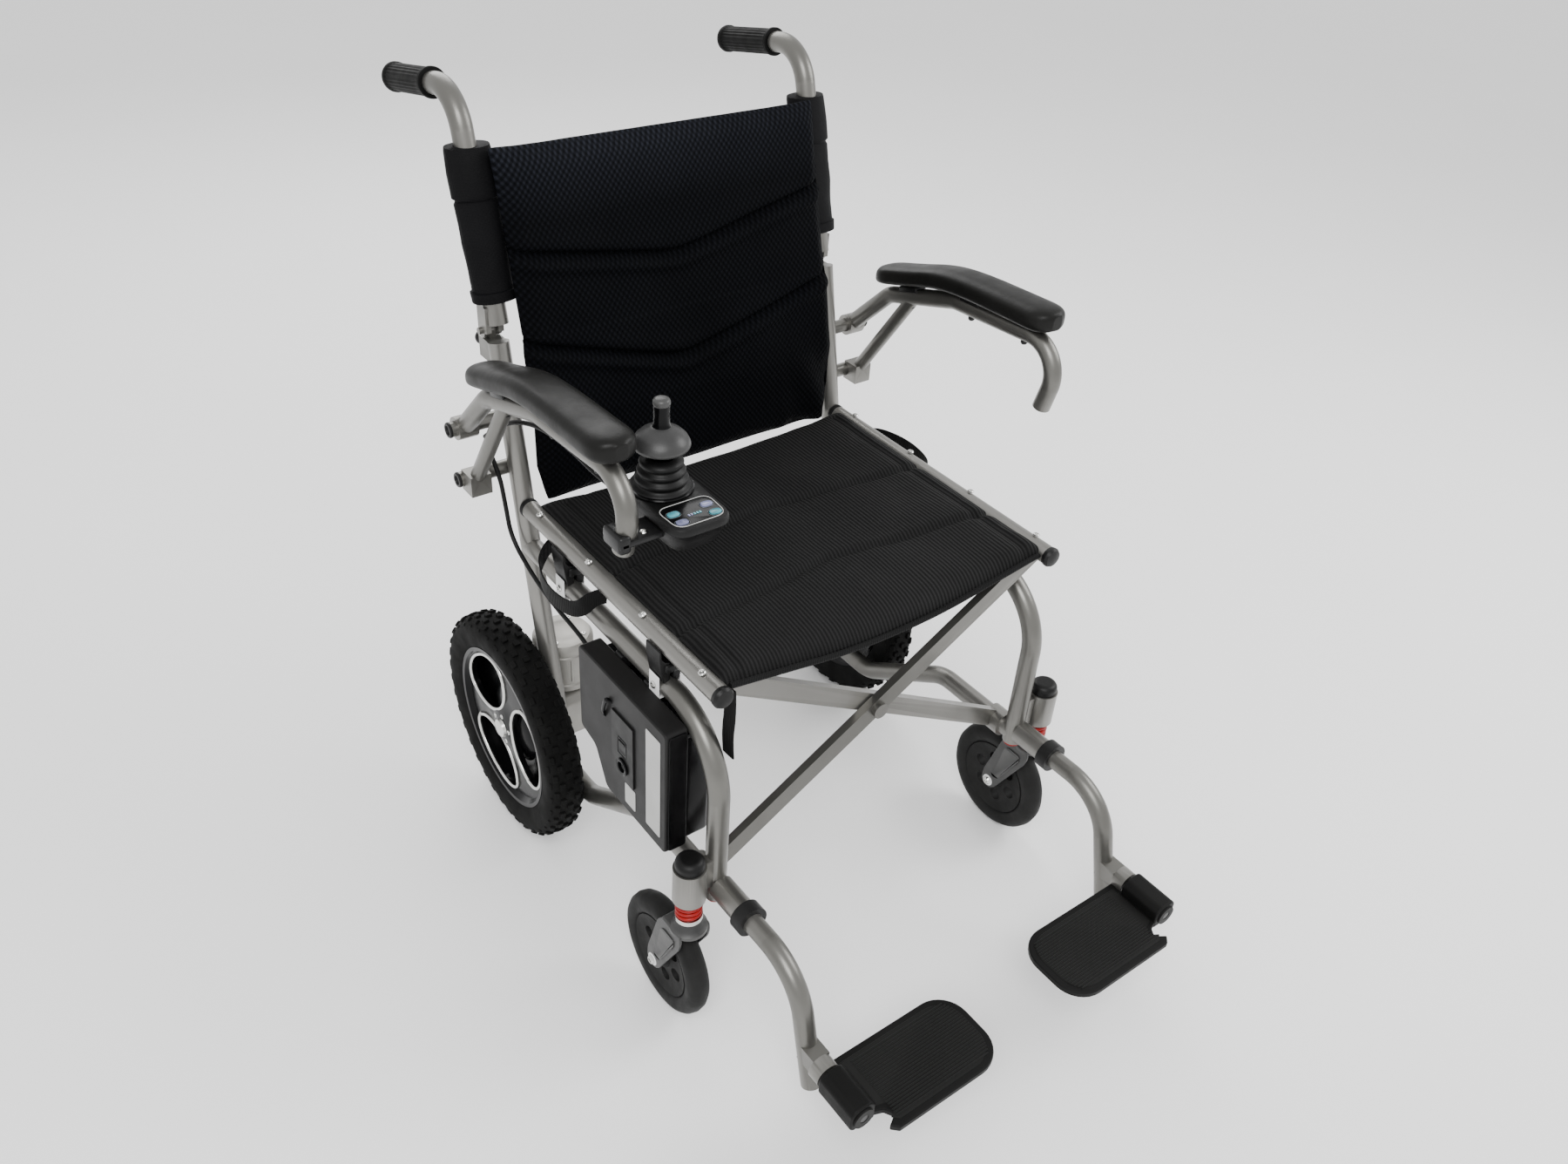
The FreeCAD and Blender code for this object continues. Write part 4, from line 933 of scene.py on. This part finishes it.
def make_seat():
    """Padded sling between the rails: sewn channels, a rolled front hem and a hollow from its hang."""
    seat = slab_mesh("seat_sling", 0.462, 0.392, 0.012, 0.020, 84, 72)
    inflate(seat, 0.006, 0.0045)
    x, y, z = coords(seat.data).T
    y = y + 0.008
    u = ramp(np.abs(x), 0, 0.231)
    sag = (0.008 + 0.015 * ramp(y, -0.08, -0.11) ** 2) * (1 - u ** 2)
    seams = 0
    for middle, bow in ((-0.082, 0.030), (0.046, 0.026)):
        line = middle + bow * (1 - ramp(np.abs(x), 0, 0.22)) ** 1.2 - bow * 0.5
        seams = seams + groove(y - line, 0.0055)
    border = groove(np.abs(x) - 0.205, 0.006) * (np.abs(y) < 0.186)
    puff = 0.0024 * ripple(x, y, 14, 3.1)
    high = 0.4925 + z - sag + ramp(z, 0, 0.004) * (puff - 0.006 * seams - 0.0034 * border)
    high = high - 0.006 * ramp(y, -0.176, -0.012) ** 2
    put_coords(seat, np.stack([x, y, high], 1))
    finish(seat, "seat_cloth", None, "seat_fabric", "seat_upholstery")
    blend_seat(seat)
    hem = sweep("seat_hem", curve_line([(-222, -189, 488.5), (-150, -190, 479), (-60, -190, 465.5),
        (60, -190, 465.5), (150, -190, 479), (222, -189, 488.5)]), circle(3.4, 12), Z)
    finish(hem, "webbing", None, "seat_fabric")
    blend_seat(hem)


def make_back():
    """Padded back panel with two V seams, cut in two at the fold, with its canes' sleeves."""
    low = 0.482
    high = 0.889
    fold = 0.690
    panel = slab_mesh("back_panel", 0.440, high - low, 0.015, 0.018, 84, 96)
    inflate(panel, 0.009, 0.0042)
    x, z, t = coords(panel.data).T
    x = x + 0.004
    z = z + (low + high) / 2
    face = ramp(t, 0, 0.004)
    # each seam: height of its low point near the middle, and the rise of each arm at the panel's edge
    for level, right, left in ((0.752, 0.033, 0.042), (0.632, 0.056, 0.052)):
        u = (x + 0.010) / 0.205
        arm = np.sqrt(u ** 2 + 0.006) - math.sqrt(0.006)
        gap = z - level - arm * np.where(u < 0, right, left)
        t = t - face * 0.0100 * groove(gap, 0.0042)
        t = t + face * 0.0050 * groove(gap + 0.0125, 0.0075)
        t = t + face * 0.0022 * groove(gap - 0.013, 0.010)
    t = t + face * 0.004 * ripple(x * 0.8, z, 11, 5.7)
    corner = ramp(x, 0.13, 0.09) * ramp(z, 0.63, -0.10)
    t = t + face * corner * 0.007 * np.sin((x + z * 0.55) * 95)
    lean = np.where(z < fold, 0.250 + 0.2 * (z - 0.588), 0.2723 + 0.266 * (z - fold))
    y = lean - 0.004 - 0.016 * ramp(z, 0.50, 0.09) - t
    foot = ramp(z, 0.48, 0.05)
    x = x * (1 + 0.012 * foot * ramp(z, fold, -0.02) - 0.045 * (1 - foot))
    put_coords(panel, np.stack([x, y, z], 1))
    panel.data.flip_normals()
    for part, body, half in (("upper", "backrest_right", above(panel, fold, True)), ("lower",
            "side_frame_right", above(panel, fold, False))):
        finish(half, "back_cloth", body, "seat_fabric", "back_upholstery_" + part)
        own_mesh(half)
    bpy.data.objects.remove(panel)
    for side, s in SIDES:
        sleeve(side, s)


def above(obj, height, upper):
    """The part of a mesh above a height, or below it, closed at the cut."""
    bm = bmesh.new()
    bm.from_mesh(obj.data)
    cut = bmesh.ops.bisect_plane(bm, geom=bm.verts[:] + bm.edges[:] + bm.faces[:], plane_co=(0, 0, height),
        plane_no=Z, clear_outer=not upper, clear_inner=upper)
    rim = [g for g in cut["geom_cut"] if isinstance(g, bmesh.types.BMEdge)]
    bmesh.ops.contextual_create(bm, geom=rim)
    return from_bmesh("back_panel_upper" if upper else "back_panel_lower", bm, 50, 1)


# ------------------------------------------------------------------ sleeves, grips, arm pads, straps
def sleeve(side, s):
    """Nylon pocket round the cane: a broad cuff at the top, a flat run and a turned hem."""
    levels = [(727, 0.94), (727.5, 1.0), (738, 1.03), (739, 0.93), (760, 0.94), (790, 0.99), (812, 0.96),
        (830, 0.98), (834, 0.89), (837, 1.03), (860, 1.04), (884, 1.0), (888, 0.97), (888.5, 0.82)]
    steps = []
    for (z0, grow0), (z1, grow1) in zip(levels, levels[1:]):
        parts = max(1, int((z1 - z0) / 4))
        steps += [(z0 + (z1 - z0) * j / parts, grow0 + (grow1 - grow0) * j / parts) for j in range(parts)]
    steps.append(levels[-1])
    loops = []
    for z, grow in steps:
        y = 275 + 0.266 * (z - 700)
        ring = []
        for a, b in oval(54, 30, 40, 2.2):
            wrinkle = grow * (1 + 0.035 * noise.noise(Vector((a * 0.06, b * 0.06, z * 0.038 + s * 7))))
            ring.append((s * 230 + a * wrinkle, y + b * wrinkle, z))
        loops.append(ring)
    made = loft("cane_sleeve_" + side, loops)
    finish(made, "nylon", "backrest_" + side, "seat_fabric")
    if side == "right":
        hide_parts("back_upholstery_upper")


def push_grip(side, s):
    """Ribbed rubber grip with a collar at the bend and a domed end."""
    along = Vector((0, 0.98349, -0.18096))
    start = Vector((s * 232, 450, 925.84)) - along * 56
    turn = frame_of(along)
    profile = [(12.6, 0), (16, 0), (17, 1.2), (17, 5.2), (16, 6.6)]
    profile += [(15.6, 8 + k * 11.5) for k in range(9)]
    profile += [(16, 101.5), (16.8, 103), (16.8, 107.5), (16, 109.8), (13.5, 111.3), (8, 112)]
    loops = []
    for radius, height in profile:
        ribs = 0.8 if 7.5 < height < 101.2 else 0
        ring = []
        for k, (c, n) in enumerate(circle(1, 96)):
            r = radius - ribs * (0.5 - 0.5 * math.cos(math.pi * k / 2))
            ring.append(start + turn @ Vector((r * c, r * n, height)))
        loops.append(ring)
    made = loft("hand_grip_" + side, loops, 30)
    finish(made, "grip", "backrest_" + side, "grip_rubber", "push_grip_" + side)


def arm_pad(side, s):
    """Long moulded rest: a gentle arch, round ends and a flatter base, on two-part mounts."""
    body = "armrest_" + side
    rear = 210
    front = -95.5
    count = 44
    arch = curve_line([(0, -100, 731.8), (0, -40, 729.8), (0, 45, 726.5), (0, 95, 719), (0, 150, 700),
        (0, 214, 681.5)])
    loops = []
    for k in range(count + 1):
        t = 0.5 - 0.5 * math.cos(math.pi * k / count)
        y = rear + (front - rear) * t
        end = min(y - front, rear - y) / 30
        plan = max(0.0, 1 - max(0.0, 1 - end) ** 2.4) ** (1 / 2.4) if end < 1 else 1.0
        wide = (49 + 5 * t) * max(plan, 0.30)
        high = (26 + 4 * t) * max(plan ** 0.5, 0.62)
        line = np.interp(y, [p.y for p in arch], [p.z for p in arch])
        ring = []
        for a, b in oval(wide, high, 40, 3.0):
            rise = b + 1.2 * (1 - (2 * a / wide) ** 2) if b > 0 else b * 0.92
            ring.append((s * 289 + a, y, line + rise))
        loops.append(ring)
    made = subdivide(loft("arm_rest_" + side, loops, 60))
    finish(made, "pad", body, "pad_foam", "armrest_pad_" + side)
    pieces = []
    for y, z, lean in ((150, 672.3, 0.299), (40, 698.5, 0.06), (-50, 704, 0.06)):
        pieces.append(block("saddle", (18, 34, 8), (s * 289, y, z + 10.5), 2, Matrix.Rotation(-lean, 3, "X")))
        pieces.append(lathe("nut", [(0, 4.6), (3, 4.6), (4.2, 3), (4.2, 0), (0, 0)],
            (s * 289, y - 11 * lean, z - 10.8), (0, -lean, -1), 20))
    finish(join("rest_mounts_" + side, pieces), "black_metal", body, "black_metal")


def strap(name, points, wide, high, up, body):
    """Flat webbing along a smooth line."""
    band = sweep(name, curve_line(points), oval(wide, high, 16, 5), up)
    return finish(band, "webbing", body, "seat_fabric")


def make_straps():
    """Handle loops beside the seat rails, and three straps below the seat's front."""
    for side, s, body, y0, y1, drop in (("left", 1, "brace_a", 165, 45, 6),
            ("right", -1, "brace_b", 150, 35, 30)):
        half = [(s * 237, 4, 470), (s * 250, 0, 472), (s * 268, -12, 478 - drop)]
        points = [(x, y0 + y, z) for x, y, z in half] + [(s * 276, (y0 + y1) / 2, 481 - drop * 1.2)]
        points += [(x, y1 - y, z) for x, y, z in reversed(half)]
        strap("strap_loop_" + side, points, 21, 2.4, Z, body)
    cross = [(-222, -148, 474), (-120, -148, 462), (0, -148, 452), (120, -148, 462), (222, -148, 474)]
    blend_seat(strap("seat_cross_strap", cross, 2.2, 30, Z, None))
    strap("seat_tie_loop", [(222, -125, 476), (205, -127, 458), (170, -128, 446), (125, -127, 447),
        (100, -124, 460)], 24, 2.4, Y, "brace_a")
    strap("seat_strap_end", [(-216, -181, 478), (-215.5, -183, 450), (-216.5, -180, 410), (-215, -182, 385)],
        2.4, 20, X, "brace_b")


# ------------------------------------------------------------------ controller
STICK_X = -225
STICK_Y = -62
# each key: name, x, y, look
KEYS = (("power", -244, -114, "teal"), ("horn", -206, -114, "lilac"), ("slower", -244, -130, "lilac"),
    ("faster", -206, -130, "teal"))


def case_loop(wide, front, rear, z, corner, nose=3):
    """A level outline of the case, narrower at the front by a nose on each side."""
    half = wide / 2
    flat = [(STICK_X - half, rear), (STICK_X + half, rear), (STICK_X + half - nose, front),
        (STICK_X - half + nose, front)]
    return round_outline(at_z(z, flat), corner, 8)


def key_loop(x, y, z, wide, high):
    return at_z(z, around(x, y, oval(wide, high, 28, 2.8)))


def key_wells():
    """Cutters for the pockets that the keys sink into."""
    return [prism("well", key_loop(x, y, 657, 13.6, 9.6), (0, 0, 10), 0) for _, x, y, _ in KEYS]


def controller():
    """Case with its lid, keypad, keys, arm, cable relief and plugs."""
    body = "armrest_right"
    case = loft("case", [case_loop(52, -128, -40, 626.2, 14), case_loop(58, -133, -37, 628.5, 16),
        case_loop(66, -138, -34, 640, 18), case_loop(70, -141, -33, 649.2, 19),
        case_loop(71.5, -142, -32.5, 650, 19)])
    lid = loft("lid", [case_loop(70.5, -141.5, -33, 650.2, 19), case_loop(74, -144, -32, 651.5, 20),
        case_loop(74, -144, -32, 656, 20), case_loop(71.5, -142.5, -33, 658.6, 19),
        case_loop(66, -139, -36, 659.5, 17)])
    cut_with(lid, key_wells(), 40)
    finish(join("controller_body", [case, lid]), "plastic", body, "black_plastic", "controller_case")
    pad = loft("keypad", [case_loop(60, -137.5, -98.5, 659.2, 12, 2),
        case_loop(60, -137.5, -98.5, 659.9, 12, 2), case_loop(58.5, -136.7, -99.3, 660.1, 11, 2)])
    cut_with(pad, key_wells(), 40)
    finish(pad, "gloss", body, "black_plastic")
    line = ring_tube("keypad_edge", case_loop(59.5, -137.2, -98.8, 660, 11.8, 2), 0.5, 8)
    finish(line, "label", body, "steel")
    for k in range(5):
        lamp = block("charge_lamp_%d" % k, (2.2, 3.2, 0.8), (STICK_X - 6.4 + k * 3.2, -122.5, 660.4), 0.3,
            None, 1)
        finish(lamp, "teal" if k > 1 else "lilac", body, "button_plastic")
    for name, x, y, look in KEYS:
        key = loft("key_cap_" + name, [key_loop(x, y, 658.7, 12.8, 8.8), key_loop(x, y, 661.1, 12.6, 8.6),
            key_loop(x, y, 661.55, 11.2, 7.2)], 50)
        finish(key, look, "key_" + name, "button_plastic", "button_" + name)
        ring = ring_tube("key_ring_" + name, key_loop(x, y, 660.2, 14.8, 10.8), 0.4, 8)
        finish(ring, "slate", body, "black_plastic")
    joystick(body)
    arm = join("controller_arm", [block("bracket", (50, 34, 6), (-278.5, -98, 642), 1.5),
        block("clamp", (14, 34, 20), (-297.2, -98, 642), 4)])
    finish(arm, "black_metal", body, "steel")
    for k, y in enumerate((-105, -90)):
        bolt_head("arm_bolt_%d" % k, (-272, y, 644.8), Z, 3.8, 2.4, body)
    relief = lathe("cable_relief", [(3, -2), (6.2, -2), (6.6, 4), (5.8, 6), (6, 10), (5, 12), (5.2, 16),
        (4.2, 18), (4.2, 24), (3, 26)], (-249, -33.5, 638), (-0.22, 0.86, 0.25), 28)
    finish(relief, "boot", body, "cable_rubber")
    for k, x in enumerate((-236, -217)):
        plug = lathe("under_plug_%d" % k, [(0, 0), (6.2, 0), (7.2, 3), (7.2, 12), (6, 14), (6.2, 20),
            (0, 20)], (x, -60, 628), (0, 0, -1), 28)
        finish(plug, "plastic", body, "black_plastic")


def joystick(body):
    """Hollow bellows with its ring, and the stick: skirt, shaft, neck and tip."""
    axis = (STICK_X, STICK_Y, 0)
    bellows = [(30.2, 660), (30.2, 662.5), (28.5, 664), (25.2, 665.5), (25, 666.8), (26.8, 669),
        (27.2, 671.2), (26.2, 673), (22.6, 674.5), (22.4, 675.7), (24.2, 677.8), (24.6, 680), (23.6, 681.8),
        (20.2, 683), (20, 684.2), (22.2, 686.5), (22.6, 689), (21.4, 691.2), (17.5, 693), (15.2, 693.8),
        (13.2, 694)]
    wall = 1.2
    inside = [(r - wall, z - wall) for r, z in reversed(bellows[1:-1])]
    boot = lathe("stick_boot", bellows + [(13.2, 692.8)] + inside + [(29, 660)], axis, Z, 72, 70)
    finish(boot, "boot", body, "boot_rubber", "joystick_boot")
    foot = lathe("boot_ring", [(30, 659.6), (32.5, 659.6), (33, 661), (32.2, 662.2), (30.3, 662.4)], axis)
    finish(foot, "gloss", body, "black_plastic")
    skirt = lathe("stick_skirt", [(0, 704), (24, 705.2), (28.2, 706), (29, 708), (28.6, 710.5), (26.2, 715.5),
        (21.2, 720.5), (15.6, 724), (11.8, 726.2), (9.3, 728), (0, 728)], axis, Z, 72, 60)
    finish(skirt, "grey", "stick", "stick_plastic", "joystick")
    shaft = lathe("shaft", [(0, 727), (9.7, 727.4), (9, 729), (8.3, 732), (8, 740), (8.2, 749), (8.1, 750.5),
        (0, 750.5)], axis, Z, 64, 60)
    neck = lathe("neck", [(0, 689), (5, 689), (5.6, 704.5), (0, 704.5)], axis, Z, 32)
    finish(join("stick_body", [shaft, neck]), "gloss", "stick", "stick_plastic")
    tip = lathe("stick_tip", [(0, 750.2), (8.3, 750.2), (8.7, 751.2), (8.7, 754.5), (7.7, 756.6), (5, 757.8),
        (0, 758)], axis, Z, 48, 50)
    finish(tip, "grey", "stick", "stick_plastic")
    keep_node("joystick_gimbal", "black_metal")


# ------------------------------------------------------------------ battery
def rectangle(a0, a1, b0, b1):
    return [(a0, b0), (a1, b0), (a1, b1), (a0, b1)]


def battery():
    """Case under the side rail: core, cover, labels, switch panel, socket, rocker, handle and hooks."""
    body = "side_frame_right"
    slot = "battery_plastic"
    core = block("core", (35, 178, 156), (-231.5, -60, 322), 6)
    top = prism("top", round_outline(at_x(-249, rectangle(-149, 29, 396, 404)), 2, 3), (34, 0, 0), 1.2)
    finish(join("battery_core", [core, top]), "gloss", body, slot, "battery_case")
    outline = at_x(-249, [(-156, 244), (-28, 244), (-4, 292), (29, 300), (29, 420), (-156, 420)])
    cover = prism("battery_cover", round_outline(outline, 7, 5), (-28.5, 0, 0), 2.4, 3)
    finish(cover, "shell", body, slot)
    rim = round_outline(at_y(-156.2, rectangle(-274, -251, 248, 416)), 4, 4)
    finish(prism("battery_front", rim, (0, -1.6, 0), 0.6), "gloss", body, slot)
    for name, corners, thick, look in (("tall", (-146, -117, 262, 404), 0.8, "label"),
            ("low", (-94, -72, 258, 288), 0.8, "label"), ("panel", (-93, -47, 292, 382), 2.6, "plastic")):
        flat = round_outline(at_x(-277.4, rectangle(*corners)), 2, 3)
        finish(prism("battery_" + name, flat, (-thick, 0, 0), 0.3, 1), look, body, slot)
    socket = lathe("charge_socket", [(4.5, -1), (10, -1), (11, 0.5), (11, 3.2), (9.5, 4), (7, 3.6), (6.6, 1),
        (4.5, 1)], (-279, -71.5, 312.5), (-1, 0, 0), 40)
    finish(socket, "gloss", body, slot)
    window = round_outline(at_x(-279.5, rectangle(-79, -61, 328, 352)), 2, 3)
    finish(ring_tube("switch_frame", window, 1.1, 8), "gloss", body, slot)
    rocker = prism("switch_rocker", at_y(-76.3, [(-276, 331.5), (-280.6, 331.5), (-279.4, 340),
        (-281.2, 348.5), (-276, 348.5)]), (0, 12.6, 0), 0.6)
    finish(rocker, "boot", "rocker_switch", "button_plastic", "battery_rocker")
    handle = curve_line([(-276.5, -44, 386), (-281.5, -40, 392), (-282, -34, 376), (-281.5, -30, 362),
        (-276.5, -28, 356)])
    finish(sweep("battery_handle", handle, oval(6, 3, 12, 3), Y), "gloss", body, slot)
    hook = ((-250, 404), (-222, 404), (-222, 418), (-224, 421), (-248, 421), (-250, 418))
    hooks = [prism("hook", at_y(y - 7, hook), (0, 14, 0)) for y in (-72, -12)]
    finish(join("battery_hooks", hooks), "black_metal", body, "black_plastic")


def release_knob():
    knob = lathe("back_knob", [(0, 18), (6, 18), (8.4, 16.5), (9, 14), (8.6, 11), (7, 8.5), (6.2, 5),
        (6.6, 0), (0, 0)], (-236, 297.5, 670), Y, 40, 50)
    finish(knob, "plastic", "release_knob", "black_plastic", "back_release_knob")


def main():
    make_stage()
    make_cords()
    make_frame()
    make_cradles()
    leg_plugs()
    stub_plugs()
    for side, s in SIDES:
        rear_tyre(side, s)
        rear_rim(side, s)
        gear_motor(side, s)
        caster(side, s)
        footplate(side, s)
        push_grip(side, s)
        arm_pad(side, s)
    make_seat()
    make_back()
    make_straps()
    controller()
    battery()
    release_knob()


main()
